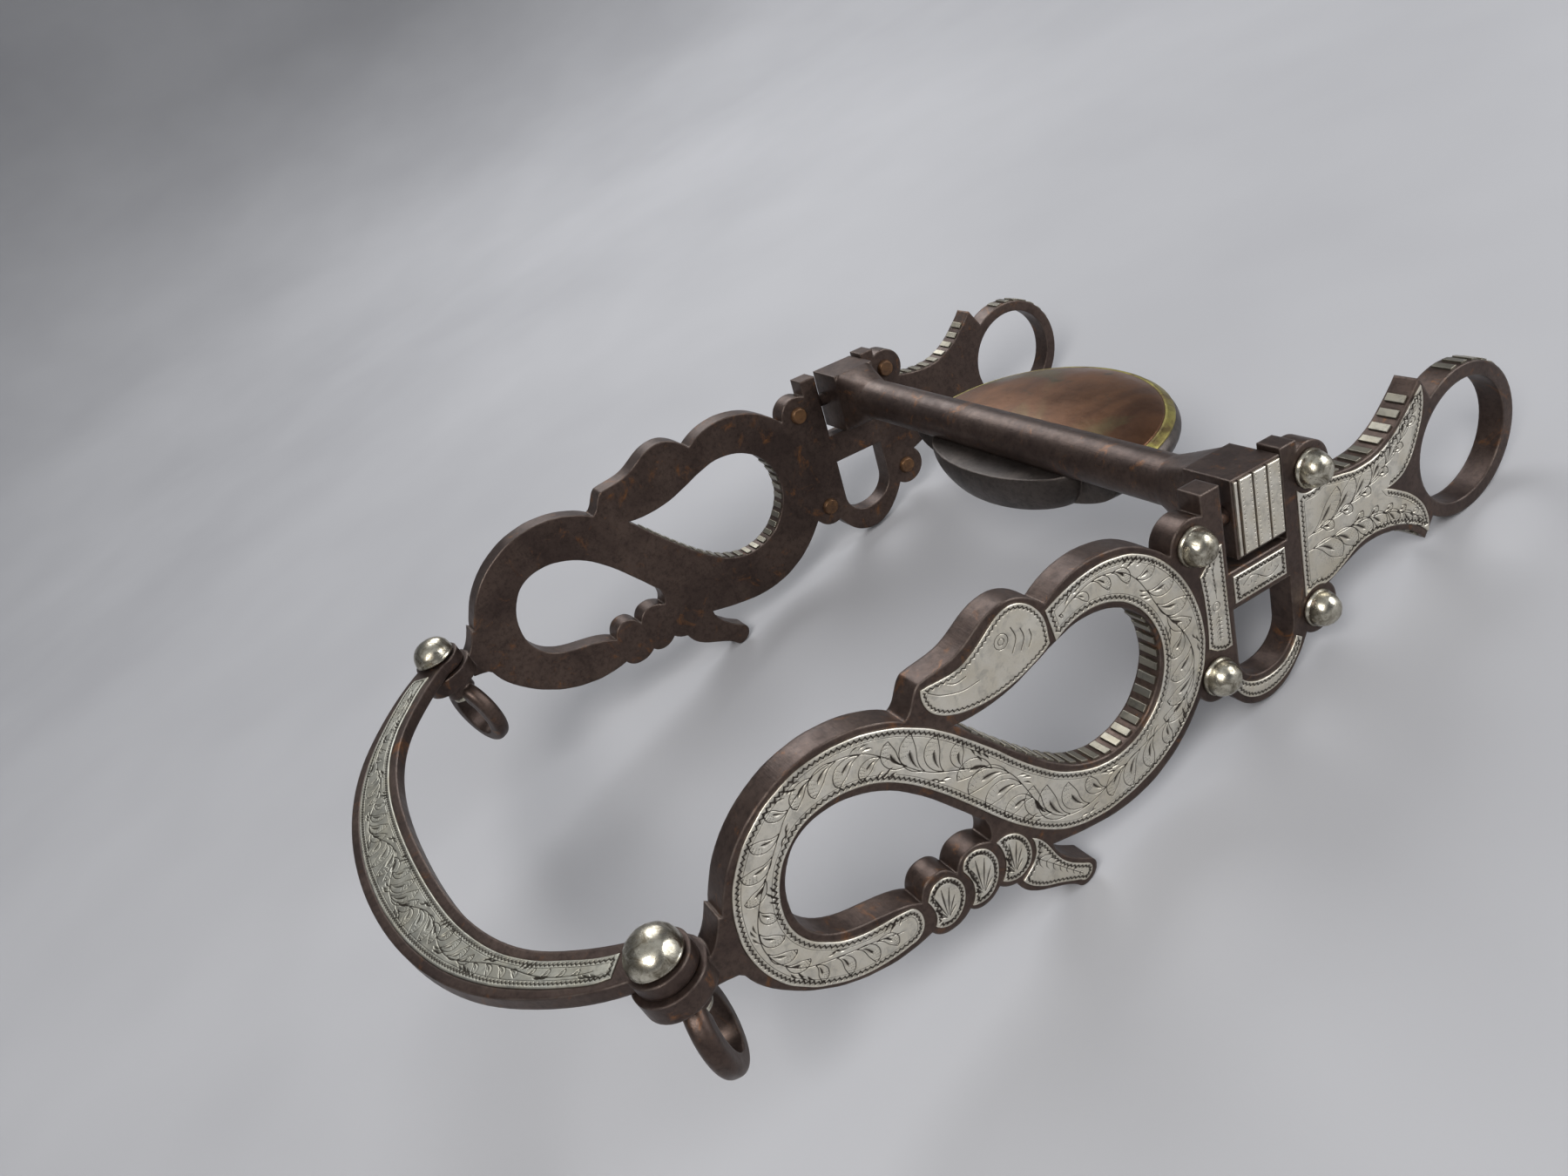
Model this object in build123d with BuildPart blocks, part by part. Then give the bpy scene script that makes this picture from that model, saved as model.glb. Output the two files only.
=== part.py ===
from build123d import *
import math
import os

os.makedirs("parts", exist_ok=True)

# ---------------------------------------------------------------------------
# Loose-jaw curb bit: two mirrored rattlesnake shanks, a straight mouthpiece
# with a copper-topped spoon, a bowed slobber bar and two swivelling rein loops.
#
# Working frame of each cheek (millimetres):
#   s  along the shank, positive towards the headstall ring
#   w  across the shank, positive towards the front edge
#   x  across the bit, positive towards the near (left) cheek
# s = w = 0 is the corner of the mouth notch where the left strap meets the
# crossbar.  The bit rests on its two rattle buttons and its two headstall
# rings, so the working frame is tipped by REST_TILT about X.
# ---------------------------------------------------------------------------

# driving dimensions
MOUTH_WIDTH = 128.0        # clear width between the cheeks
PLATE = 5.0                # cheek plate thickness
REST_TILT = 14.52          # tip of the shank line above the horizontal
REST_Y = 36.25             # shifts that bring the origin to the middle of the base
REST_Z = 31.4
INLAY_SINK = 0.5           # depth of the inlays in the plate
INLAY_PROUD = 0.25         # height of the inlays above the plate
GAP = 0.3                  # working gap between separate moving pieces

IN = MOUTH_WIDTH / 2
OUT = IN + PLATE
MID = IN + PLATE / 2

NOTCH = 14.6               # mouth notch width between the straps
HINGE_W = 9.5              # height of the cheek hinge above the crossbar
HINGE_R = 1.6              # hinge pin radius
HINGE_PLAY = 0.05          # running clearance of the hinge pin in the mouthpiece
RING_S, RING_W = 62.3, -0.8
RING_R, RING_HOLE_R = 15.0, 12.3
CONCHOS = [(-7.1, 8.9), (-5.0, -18.2), (21.0, 11.2), (20.8, -16.9)]
LOBE_R, CONCHO_R, CONCHO_H = 5.0, 4.1, 4.3
RIVET_R, TAIL_R = 1.5, 2.3

BAR_S, BAR_W, BAR_R = 8.3, 9.8, 4.9
BLOCK_S0, BLOCK_S1 = 2.6, 14.2
BLOCK_W0, BLOCK_W1 = 1.6, 16.6

# rein swivel: axis direction in the cheek plane and the stack along it
SWIVEL_S, SWIVEL_W, SWIVEL_X = -114.0, -9.3, 65.8
SWIVEL_DIR = (0.225, -0.974)
DOME_R, DOME_H = 4.8, 4.4
SHANK_R = 1.9
EYE_R, EYE_T0, EYE_T1 = 5.4, 0.5, 3.2      # slobber bar eye
BOSS_R, BOSS_T0, BOSS_T1 = 6.4, 3.7, 7.6   # boss on the shank
COLLAR_T0, COLLAR_T1 = 8.0, 11.2           # collar of the rein loop
LOOP_TURN = 68.0                           # rest turn of the rein loop plane
LOOP_SIGN = -1                             # the loop hangs below its collar

# spoon (flattened ellipsoid under and ahead of the bar)
SPOON_S, SPOON_W, SPOON_TILT = 15.7, 5.0, 7.4
SPOON_X, SPOON_L, SPOON_T = 35.0, 28.7, 8.1
SEAM_LOW, SEAM_HIGH = 15.0, 23.0              # latitudes of the seam on the spoon
CUP_BACK_X, CUP_BACK_L, CUP_BACK_T = 24.0, 9.8, 12.0

# outlines in (s, w), corner to corner
NECK_TOP = [
    (-38.4, 13.2), (-36.1, 14.6), (-33.7, 15.6), (-31.2, 16.2), (-28.6, 16.5), (-26.1, 16.4), (-23.5, 16.0),
    (-21.0, 15.3), (-18.6, 14.2), (-16.4, 12.8), (-14.3, 11.2), (-12.5, 9.3),
]
BELLY = [
    (-9.7, -20.7), (-11.4, -22.8), (-13.2, -24.8), (-15.2, -26.6), (-17.3, -28.2), (-19.6, -29.5), (-22.0, -30.7),
    (-24.5, -31.5), (-27.1, -32.1), (-29.7, -32.4), (-32.4, -32.5), (-35.1, -32.3), (-37.8, -32.0), (-40.5, -31.6),
    (-43.1, -31.1), (-45.7, -30.6),
]
BUTTON_TOP = [
    (-45.7, -30.6), (-45.3, -32.2), (-44.5, -33.5), (-43.5, -34.7), (-42.3, -35.8), (-41.1, -36.8), (-39.7, -37.7),
    (-38.4, -38.5),
]
BUTTON_TIP = [
    (-38.4, -38.5), (-37.7, -39.9), (-38.1, -41.4), (-39.3, -42.5), (-40.8, -42.9), (-42.3, -42.0),
]
BUTTON_LOW = [
    (-42.3, -42.0), (-43.6, -41.0), (-45.1, -40.2), (-46.7, -39.5), (-48.2, -38.9), (-49.8, -38.2), (-51.2, -37.4),
    (-52.5, -36.4), (-53.5, -35.2), (-54.3, -33.6),
]
RATTLE3_LOW = [
    (-54.3, -33.6), (-56.1, -33.1), (-57.7, -32.0),
]
RATTLE2_LOW = [
    (-57.7, -32.0), (-59.1, -33.1), (-60.8, -33.7), (-62.5, -33.6), (-64.0, -32.6),
]
RATTLE1_LOW = [
    (-64.0, -32.6), (-65.2, -33.5), (-66.6, -34.1), (-68.1, -34.3), (-69.5, -34.2), (-70.8, -33.6), (-71.9, -32.4),
]
TAIL_LOW = [
    (-71.9, -32.4), (-74.5, -33.0), (-77.1, -33.3), (-79.7, -33.4), (-82.3, -33.1), (-84.9, -32.7), (-87.4, -32.0),
    (-89.9, -31.1), (-92.2, -29.9), (-94.5, -28.6), (-96.7, -27.0), (-98.7, -25.3), (-100.6, -23.4), (-102.2, -21.3),
    (-103.4, -19.0), (-104.2, -16.6), (-104.5, -14.1), (-104.5, -11.5), (-104.0, -8.8), (-103.4, -6.2), (-102.4, -3.7),
    (-101.3, -1.3), (-99.9, 0.9), (-98.3, 2.9), (-96.4, 4.8), (-94.4, 6.4), (-92.2, 7.8), (-89.9, 9.0),
    (-87.4, 9.9), (-84.8, 10.5), (-82.2, 10.9), (-79.5, 10.9), (-76.9, 10.7), (-74.3, 10.2), (-71.8, 9.4),
    (-69.4, 8.4), (-67.2, 7.0),
]
SNOUT = [
    (-67.2, 7.0), (-66.0, 8.0), (-65.2, 9.4), (-64.5, 10.7), (-63.4, 11.8),
]
HEAD_TOP = [
    (-63.4, 11.8), (-60.9, 12.2), (-58.4, 12.5), (-56.0, 13.1), (-53.8, 14.2), (-51.6, 15.6), (-49.4, 16.7),
    (-47.0, 17.3), (-44.6, 17.3), (-42.3, 16.5), (-40.1, 15.0), (-38.4, 13.2),
]
NECK_HOLE = [
    (-59.2, 1.9), (-56.5, 1.6), (-53.9, 1.6), (-51.4, 1.8), (-48.9, 2.2), (-46.4, 2.8), (-43.9, 3.7),
    (-41.4, 4.6), (-39.0, 5.6), (-36.5, 6.4), (-34.0, 7.1), (-31.4, 7.3), (-28.9, 7.1), (-26.4, 6.5),
    (-24.0, 5.4), (-21.9, 4.0), (-20.1, 2.1), (-18.7, -0.0), (-17.7, -2.5), (-17.3, -5.1), (-17.2, -7.7),
    (-17.7, -10.3), (-18.7, -12.7), (-20.1, -14.9), (-21.8, -16.9), (-23.9, -18.4), (-26.2, -19.5), (-28.7, -20.1),
    (-31.3, -20.3), (-33.8, -19.9), (-36.3, -19.1), (-38.6, -18.0), (-40.8, -16.5), (-42.9, -14.9), (-44.9, -13.1),
    (-46.8, -11.3), (-48.6, -9.5), (-50.4, -7.7), (-52.2, -5.8), (-53.9, -3.9), (-55.7, -2.0), (-57.4, -0.0),
    (-59.2, 1.9),
]
TAIL_HOLE_TOP = [
    (-93.5, -11.9), (-93.4, -9.4), (-92.8, -6.9), (-91.7, -4.5), (-90.2, -2.4), (-88.2, -0.9), (-86.0, 0.0),
    (-83.5, 0.4), (-81.0, 0.4), (-78.5, -0.1), (-76.0, -0.9), (-73.7, -2.0), (-71.6, -3.3), (-69.6, -4.9),
    (-67.7, -6.6), (-65.9, -8.4), (-64.2, -10.3), (-62.5, -12.3), (-60.8, -14.2), (-59.2, -16.2), (-57.5, -18.0),
]
TAIL_HOLE_END = [
    (-57.5, -18.0), (-57.0, -19.5), (-56.9, -21.1), (-57.4, -22.6),
]
RATTLE2_TOP = [
    (-57.4, -22.6), (-58.8, -21.9), (-60.3, -21.5), (-61.8, -21.6), (-63.2, -22.1), (-64.2, -23.1), (-64.9, -24.6),
]
RATTLE1_TOP = [
    (-64.9, -24.6), (-65.8, -23.3), (-67.0, -22.4), (-68.4, -22.1), (-69.8, -22.3), (-71.0, -23.0), (-71.9, -24.3),
    (-72.3, -25.8),
]
TAIL_HOLE_LOW = [
    (-72.3, -25.8), (-74.5, -24.7), (-76.9, -24.0), (-79.4, -23.5), (-82.0, -23.1), (-84.5, -22.6), (-86.9, -21.8),
    (-89.1, -20.6), (-90.9, -19.0), (-92.3, -17.0), (-93.2, -14.6), (-93.5, -11.9),
]
CURB_LOOP_OUT = [
    (18.6, -19.0), (17.4, -21.2), (16.0, -23.4), (14.3, -25.4), (12.4, -27.2), (10.2, -28.5), (7.8, -29.2),
    (5.3, -29.2), (2.8, -28.5), (0.6, -27.2), (-1.2, -25.3), (-2.7, -23.2),
]
CURB_SLOT_LOW = [
    (0.3, -17.6), (1.0, -20.3), (2.6, -22.1), (4.9, -23.2), (7.5, -23.4), (10.1, -22.9), (12.3, -21.6),
    (13.9, -19.6), (14.6, -17.0),
]
PURCHASE_TOP = [
    (17.6, 9.3), (20.1, 8.9), (22.6, 8.3), (25.2, 7.8), (27.8, 7.2), (30.4, 6.8), (33.0, 6.6),
    (35.5, 6.7), (38.0, 7.1), (40.4, 8.0), (42.7, 9.2), (44.8, 10.7), (46.8, 12.5), (48.7, 14.3),
    (50.4, 16.2),
]
PURCHASE_LOW = [
    (50.9, -16.6), (49.1, -14.8), (47.1, -13.2), (44.8, -12.0), (42.4, -11.0), (39.9, -10.4), (37.4, -10.1),
    (34.8, -10.1), (32.4, -10.5), (29.9, -11.3), (27.5, -12.1), (25.1, -13.0), (22.6, -13.8), (20.2, -14.3),
    (17.6, -14.5),
]
BODY_SILVER = [
    (-38.6, 12.2), (-36.2, 13.2), (-33.7, 14.0), (-31.1, 14.6), (-28.5, 14.9), (-25.8, 14.9), (-23.3, 14.5),
    (-20.8, 13.9), (-18.5, 12.8), (-16.3, 11.4), (-14.4, 9.8), (-12.6, 7.8), (-11.1, 5.7), (-9.8, 3.4),
    (-8.7, 0.9), (-7.9, -1.6), (-7.3, -4.2), (-7.0, -6.8), (-7.0, -9.4), (-7.4, -12.0), (-8.0, -14.5),
    (-9.0, -16.8), (-10.3, -19.1), (-11.9, -21.2), (-13.7, -23.1), (-15.6, -24.8), (-17.8, -26.3), (-20.0, -27.6),
    (-22.4, -28.7), (-24.9, -29.5), (-27.4, -30.2), (-30.1, -30.6), (-32.7, -30.9), (-35.4, -30.8), (-37.9, -30.5),
    (-40.4, -29.9), (-42.8, -29.0), (-45.0, -27.8), (-47.1, -26.4), (-49.2, -24.7), (-51.1, -23.0), (-53.0, -21.1),
    (-54.8, -19.1), (-56.5, -17.1), (-58.2, -15.0), (-59.9, -13.0), (-61.6, -11.0), (-63.3, -9.1), (-65.1, -7.2),
    (-66.9, -5.4), (-68.8, -3.7), (-70.9, -2.1), (-73.1, -0.7), (-75.5, 0.4), (-78.0, 1.1), (-80.6, 1.5),
    (-83.3, 1.4), (-85.9, 0.9), (-88.3, -0.1), (-90.3, -1.7), (-92.1, -3.6), (-93.4, -5.9), (-94.3, -8.4),
    (-94.7, -10.9), (-94.7, -13.5), (-94.2, -16.0), (-93.1, -18.3), (-91.5, -20.3), (-89.5, -21.9), (-87.2, -23.3),
    (-84.7, -24.2), (-82.1, -24.7), (-79.5, -24.9), (-76.9, -25.1), (-74.4, -25.5),
]
BODY_SILVER_END = [
    (-74.4, -25.5), (-73.2, -26.8), (-72.8, -28.5), (-73.1, -30.2), (-74.2, -31.5), (-76.0, -32.0),
]
BODY_SILVER_BACK = [
    (-76.0, -32.0), (-78.6, -32.3), (-81.1, -32.3), (-83.7, -32.1), (-86.3, -31.6), (-88.8, -30.8), (-91.2, -29.7),
    (-93.5, -28.5), (-95.5, -26.9), (-97.4, -25.2), (-98.9, -23.2), (-100.2, -21.0), (-101.2, -18.6), (-101.9, -16.1),
    (-102.3, -13.6), (-102.3, -11.0), (-102.1, -8.3), (-101.6, -5.8), (-100.8, -3.3), (-99.6, -1.0), (-98.2, 1.2),
    (-96.5, 3.2), (-94.6, 4.9), (-92.6, 6.5), (-90.3, 7.7), (-88.0, 8.7), (-85.5, 9.4), (-83.0, 9.7),
    (-80.4, 9.8), (-77.9, 9.6), (-75.3, 9.2), (-72.8, 8.5), (-70.3, 7.6), (-67.9, 6.5), (-65.7, 5.2),
    (-63.5, 3.8), (-61.5, 2.2), (-59.6, 0.5), (-57.8, -1.3), (-56.0, -3.1), (-54.2, -5.0), (-52.4, -6.9),
    (-50.7, -8.9), (-49.0, -10.8), (-47.2, -12.7), (-45.3, -14.5), (-43.4, -16.2), (-41.3, -17.8), (-39.0, -19.1),
    (-36.6, -20.2), (-34.2, -21.0), (-31.7, -21.4), (-29.1, -21.4), (-26.7, -20.9), (-24.3, -20.0), (-22.1, -18.6),
    (-20.2, -16.9), (-18.6, -14.8), (-17.5, -12.5), (-16.7, -10.0), (-16.4, -7.4), (-16.5, -4.8), (-17.1, -2.3),
    (-18.1, 0.2), (-19.4, 2.4), (-21.1, 4.4), (-23.0, 6.0), (-25.2, 7.2), (-27.6, 8.0), (-30.1, 8.3),
    (-32.7, 8.1), (-35.2, 7.4), (-37.6, 6.2),
]
HEAD_SILVER_TOP = [
    (-63.4, 10.7), (-61.0, 10.7), (-58.4, 10.6), (-55.9, 10.9), (-53.7, 11.8), (-51.6, 13.1), (-49.5, 14.6),
    (-47.4, 15.9), (-45.1, 16.4), (-42.9, 15.8), (-40.9, 14.2), (-39.5, 12.0),
]
HEAD_SILVER_NECK = [
    (-39.5, 12.0), (-39.0, 10.2), (-38.9, 8.3), (-38.9, 6.4),
]
HEAD_SILVER_LOW = [
    (-38.9, 6.4), (-41.0, 5.2), (-43.3, 4.3), (-45.7, 3.5), (-48.2, 3.0), (-50.7, 2.7), (-53.3, 2.7),
    (-55.9, 3.0), (-58.4, 3.6), (-60.6, 4.6), (-62.4, 6.1), (-63.4, 8.1), (-63.4, 10.7),
]
RATTLE1_SILVER = [
    (-71.0, -31.7), (-69.3, -32.9), (-67.7, -33.0), (-66.3, -32.3), (-65.2, -31.1), (-64.5, -29.5), (-64.3, -27.7),
    (-64.8, -25.9), (-65.9, -24.5), (-67.3, -23.7), (-69.0, -23.7), (-70.4, -24.7), (-71.3, -26.3),
]
RATTLE1_SILVER_IN = [
    (-71.3, -26.3), (-70.6, -28.1), (-70.4, -29.9), (-71.0, -31.7),
]
RATTLE2_SILVER = [
    (-63.5, -32.2), (-61.6, -32.7), (-59.9, -32.4), (-58.6, -31.4), (-57.7, -30.0), (-57.2, -28.3), (-57.1, -26.5),
    (-57.6, -24.8), (-58.6, -23.3), (-60.1, -22.4), (-61.7, -22.2), (-63.0, -22.9), (-63.7, -24.8),
]
RATTLE2_SILVER_IN = [
    (-63.7, -24.8), (-63.0, -26.2), (-62.5, -27.7), (-62.4, -29.3), (-62.7, -30.8), (-63.5, -32.2),
]
RATTLE3_SILVER = [
    (-56.9, -31.4), (-55.2, -32.4), (-53.5, -32.6), (-52.1, -32.1), (-50.9, -31.0), (-50.3, -29.4), (-50.3, -27.7),
    (-50.8, -26.0), (-51.8, -24.5), (-53.2, -23.5), (-54.8, -23.1), (-56.5, -23.4),
]
RATTLE3_SILVER_IN = [
    (-56.5, -23.4), (-55.8, -25.0), (-55.5, -26.6), (-55.5, -28.3), (-56.0, -29.9), (-56.9, -31.4),
]
PURCHASE_SILVER_TOP = [
    (17.7, 8.6), (19.4, 8.5), (21.1, 8.3), (22.8, 7.9), (24.4, 7.6), (26.2, 7.1), (27.9, 6.7),
    (29.6, 6.4), (31.3, 6.0), (33.0, 5.8), (34.7, 5.8), (36.4, 5.9), (38.0, 6.2), (39.7, 6.7),
    (41.3, 7.4), (42.8, 8.2), (44.2, 9.2), (45.6, 10.4), (46.9, 11.6), (48.1, 12.8), (49.3, 13.9),
    (50.6, 15.0),
]
PURCHASE_SILVER_UPR = [
    (50.6, 15.0), (51.0, 13.4), (51.1, 11.7), (50.9, 10.1), (50.5, 8.4), (49.9, 6.8), (49.2, 5.2),
    (48.4, 3.6), (47.6, 2.2), (46.5, 0.9), (45.3, -0.2), (43.8, -0.9), (42.2, -1.3), (40.4, -1.4),
]
PURCHASE_SILVER_LWR = [
    (40.4, -1.4), (41.8, -2.1), (43.2, -2.9), (44.7, -3.8), (46.1, -4.7), (47.4, -5.7), (48.6, -6.8),
    (49.7, -8.0), (50.7, -9.4), (51.4, -10.9), (51.9, -12.4), (52.0, -14.0), (51.8, -15.6),
]
PURCHASE_SILVER_LOW = [
    (51.8, -15.6), (50.7, -14.4), (49.4, -13.3), (48.0, -12.4), (46.6, -11.6), (45.1, -10.9), (43.5, -10.3),
    (41.9, -9.8), (40.3, -9.4), (38.6, -9.1), (37.0, -8.9), (35.3, -8.9), (33.7, -9.1), (32.2, -9.5),
    (30.7, -10.1), (29.2, -10.9), (27.7, -11.6), (26.2, -12.3), (24.6, -12.8), (23.0, -13.0), (21.3, -13.1),
    (19.7, -13.3), (18.0, -13.4),
]
BUTTON_SILVER_TOP = [
    (-49.6, -26.8), (-47.6, -28.7), (-46.4, -31.0), (-45.3, -33.4), (-43.8, -35.6), (-41.7, -37.4), (-39.4, -38.9),
]
BUTTON_SILVER_TIP = [
    (-39.4, -38.9), (-38.8, -39.9), (-39.2, -41.1), (-40.3, -41.8), (-41.6, -41.2),
]
BUTTON_SILVER_LOW = [
    (-41.6, -41.2), (-43.6, -40.2), (-46.0, -39.0), (-48.4, -38.0), (-50.6, -36.7), (-52.2, -35.2), (-53.0, -33.9),
]
BUTTON_SILVER_ROOT = [
    (-53.0, -33.9), (-51.2, -32.6), (-49.8, -31.0), (-49.2, -28.9), (-49.6, -26.8),
]
STRAP_SILVER = [
    (-0.9, 6.4), (-3.1, 6.4), (-4.5, 4.3), (-6.4, 2.4), (-6.0, -1.5), (-5.9, -6.0), (-6.0, -9.5),
    (-6.3, -12.0), (-4.6, -13.2), (-2.8, -13.9), (-0.9, -13.9),
]
CURB_BAND_OUT = [
    (16.2, -21.0), (15.0, -23.4), (13.2, -25.4), (10.6, -27.0), (7.8, -27.8),
    (4.9, -27.7), (2.3, -26.8), (0.2, -25.1), (-1.2, -22.8),
]
CURB_BAND_IN = [
    (-0.1, -21.1), (1.2, -22.6), (3.7, -24.1), (6.5, -24.7), (9.2, -24.5),
    (11.6, -23.6), (13.5, -22.0), (14.9, -20.0),
]
# slobber bar half outlines in (x, distance ahead of the eye line)
BOW_OUT = [
    (-66.0, -4.6), (-62.0, -10.5), (-54.0, -18.5), (-45.0, -25.0), (-34.0, -30.0), (-22.0, -33.2),
    (-10.0, -34.8), (0.0, -35.2), (10.0, -34.8), (22.0, -33.2), (34.0, -30.0),
    (45.0, -25.0), (54.0, -18.5), (62.0, -10.5), (66.0, -4.6),
]
BOW_IN = [
    (60.4, 0.0), (57.0, -4.2), (52.0, -9.2), (46.0, -14.0), (38.0, -18.0), (27.0, -21.0),
    (15.0, -22.5), (0.0, -23.0), (-15.0, -22.5), (-27.0, -21.0), (-38.0, -18.0),
    (-46.0, -14.0), (-52.0, -9.2), (-57.0, -4.2), (-60.4, 0.0),
]
BOW_SILVER_OUT = [
    (-58.4, -12.3), (-52.2, -17.7), (-43.8, -23.5), (-33.3, -28.3), (-21.6, -31.4),
    (-10.0, -33.0), (0.0, -33.4), (10.0, -33.0), (21.6, -31.4), (33.3, -28.3),
    (43.8, -23.5), (52.2, -17.7), (58.4, -12.3),
]
BOW_SILVER_IN = [
    (56.2, -8.0), (53.0, -10.8), (47.2, -15.4), (38.8, -19.7), (27.4, -22.8),
    (15.1, -24.3), (0.0, -24.8), (-15.1, -24.3), (-27.4, -22.8), (-38.8, -19.7),
    (-47.2, -15.4), (-53.0, -10.8), (-56.2, -8.0),
]

# the working frame: local X = s, local Y = w, local Z = x
CT, ST = math.cos(math.radians(REST_TILT)), math.sin(math.radians(REST_TILT))
RIG = Plane(origin=(0, REST_Y, REST_Z), x_dir=(0, CT, -ST), z_dir=(1, 0, 0))


def point(s, w, x):
    return RIG.from_local_coords((s, w, x))


def direction(s, w, x):
    return point(s, w, x) - point(0, 0, 0)


def along_walls(path, first, pitch, count):
    """Evenly spaced (s, w, angle of the outward normal) stations on a polyline."""
    stations, walked, want = [], 0.0, first
    for (s0, w0), (s1, w1) in zip(path, path[1:]):
        step = math.hypot(s1 - s0, w1 - w0)
        while want <= walked + step and len(stations) < count:
            k = (want - walked) / step
            stations.append(
                (s0 + k * (s1 - s0), w0 + k * (w1 - w0),
                 math.degrees(math.atan2(w1 - w0, s1 - s0)))
            )
            want += pitch
        walked += step
    return stations


FACE = RIG.offset(OUT - INLAY_SINK)      # floor of the inlay pockets
INLAY = INLAY_SINK + INLAY_PROUD
SWIVEL_UP = direction(-SWIVEL_DIR[0], -SWIVEL_DIR[1], 0)


def swivel_plane(t, x=SWIVEL_X):
    """Plane across the swivel axis, t below the dome's base, facing the dome."""
    return Plane(
        origin=point(SWIVEL_S + SWIVEL_DIR[0] * t, SWIVEL_W + SWIVEL_DIR[1] * t, x),
        x_dir=(1, 0, 0),
        z_dir=SWIVEL_UP,
    )


# ---------------------------------------------------------------------------
# silver inlays of the near cheek
# ---------------------------------------------------------------------------
with BuildPart() as near_snake_silver:
    with BuildSketch(FACE):
        with BuildLine():
            Spline(*BODY_SILVER)
            Spline(*BODY_SILVER_END)
            Spline(*BODY_SILVER_BACK)
            Line(BODY_SILVER_BACK[-1], BODY_SILVER[0])
        make_face()
    extrude(amount=INLAY)

with BuildPart() as near_head_silver:
    with BuildSketch(FACE):
        with BuildLine():
            Spline(*HEAD_SILVER_TOP)
            Spline(*HEAD_SILVER_NECK)
            Spline(*HEAD_SILVER_LOW)
        make_face()
    extrude(amount=INLAY)

with BuildPart() as near_rattle_silver:
    for outer, inner in (
        (RATTLE1_SILVER, RATTLE1_SILVER_IN),
        (RATTLE2_SILVER, RATTLE2_SILVER_IN),
        (RATTLE3_SILVER, RATTLE3_SILVER_IN),
    ):
        with BuildSketch(FACE):
            with BuildLine():
                Spline(*outer)
                Spline(*inner)
            make_face()
        extrude(amount=INLAY)

with BuildPart() as near_button_silver:
    with BuildSketch(FACE):
        with BuildLine():
            Spline(*BUTTON_SILVER_TOP)
            Spline(*BUTTON_SILVER_TIP)
            Spline(*BUTTON_SILVER_LOW)
            Spline(*BUTTON_SILVER_ROOT)
        make_face()
    extrude(amount=INLAY)

with BuildPart() as near_strap_silver:
    with BuildSketch(FACE):
        with BuildLine():
            Polyline(*STRAP_SILVER, close=True)
        make_face()
    extrude(amount=INLAY)

with BuildPart() as near_crossbar_silver:
    with BuildSketch(FACE):
        with Locations((7.3, -3.65)):
            Rectangle(12.6, 5.3)
    extrude(amount=INLAY)

with BuildPart() as near_curb_silver:
    with BuildSketch(FACE):
        with BuildLine():
            Spline(*CURB_BAND_OUT)
            Line(CURB_BAND_OUT[-1], CURB_BAND_IN[0])
            Spline(*CURB_BAND_IN)
            Line(CURB_BAND_IN[-1], CURB_BAND_OUT[0])
        make_face()
    extrude(amount=INLAY)

with BuildPart() as near_purchase_silver:
    with BuildSketch(FACE):
        with BuildLine():
            Spline(*PURCHASE_SILVER_TOP)
            Spline(*PURCHASE_SILVER_UPR)
            Spline(*PURCHASE_SILVER_LWR)
            Spline(*PURCHASE_SILVER_LOW)
            Line(PURCHASE_SILVER_LOW[-1], PURCHASE_SILVER_TOP[0])
        make_face()
        with Locations(*CONCHOS[2:]):
            Circle(CONCHO_R + 0.4, mode=Mode.SUBTRACT)
    extrude(amount=INLAY)

# narrow silver strips let into the edge walls of the plate
with BuildPart(RIG) as near_neck_strips:
    for s, w, turn in along_walls(NECK_HOLE[16:], 2.0, 2.62, 24):
        with Locations(Location((s, w, MID), (0, 0, turn))):
            Box(1.35, 0.7, PLATE - 1.1)

with BuildPart(RIG) as near_purchase_strips:
    for s, w, turn in along_walls(PURCHASE_TOP, 8.0, 3.0, 9) + along_walls(PURCHASE_LOW, 2.4, 3.0, 9):
        with Locations(Location((s, w, MID), (0, 0, turn))):
            Box(1.5, 0.7, PLATE - 1.1)

with BuildPart(RIG) as near_ring_strips:
    for k in range(13):
        turn = 96 - 11.5 * k
        with Locations(
            Location(
                (RING_S + RING_R * math.cos(math.radians(turn)),
                 RING_W + RING_R * math.sin(math.radians(turn)), MID),
                (0, 0, turn - 90),
            )
        ):
            Box(1.5, 0.7, PLATE - 1.1)

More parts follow.
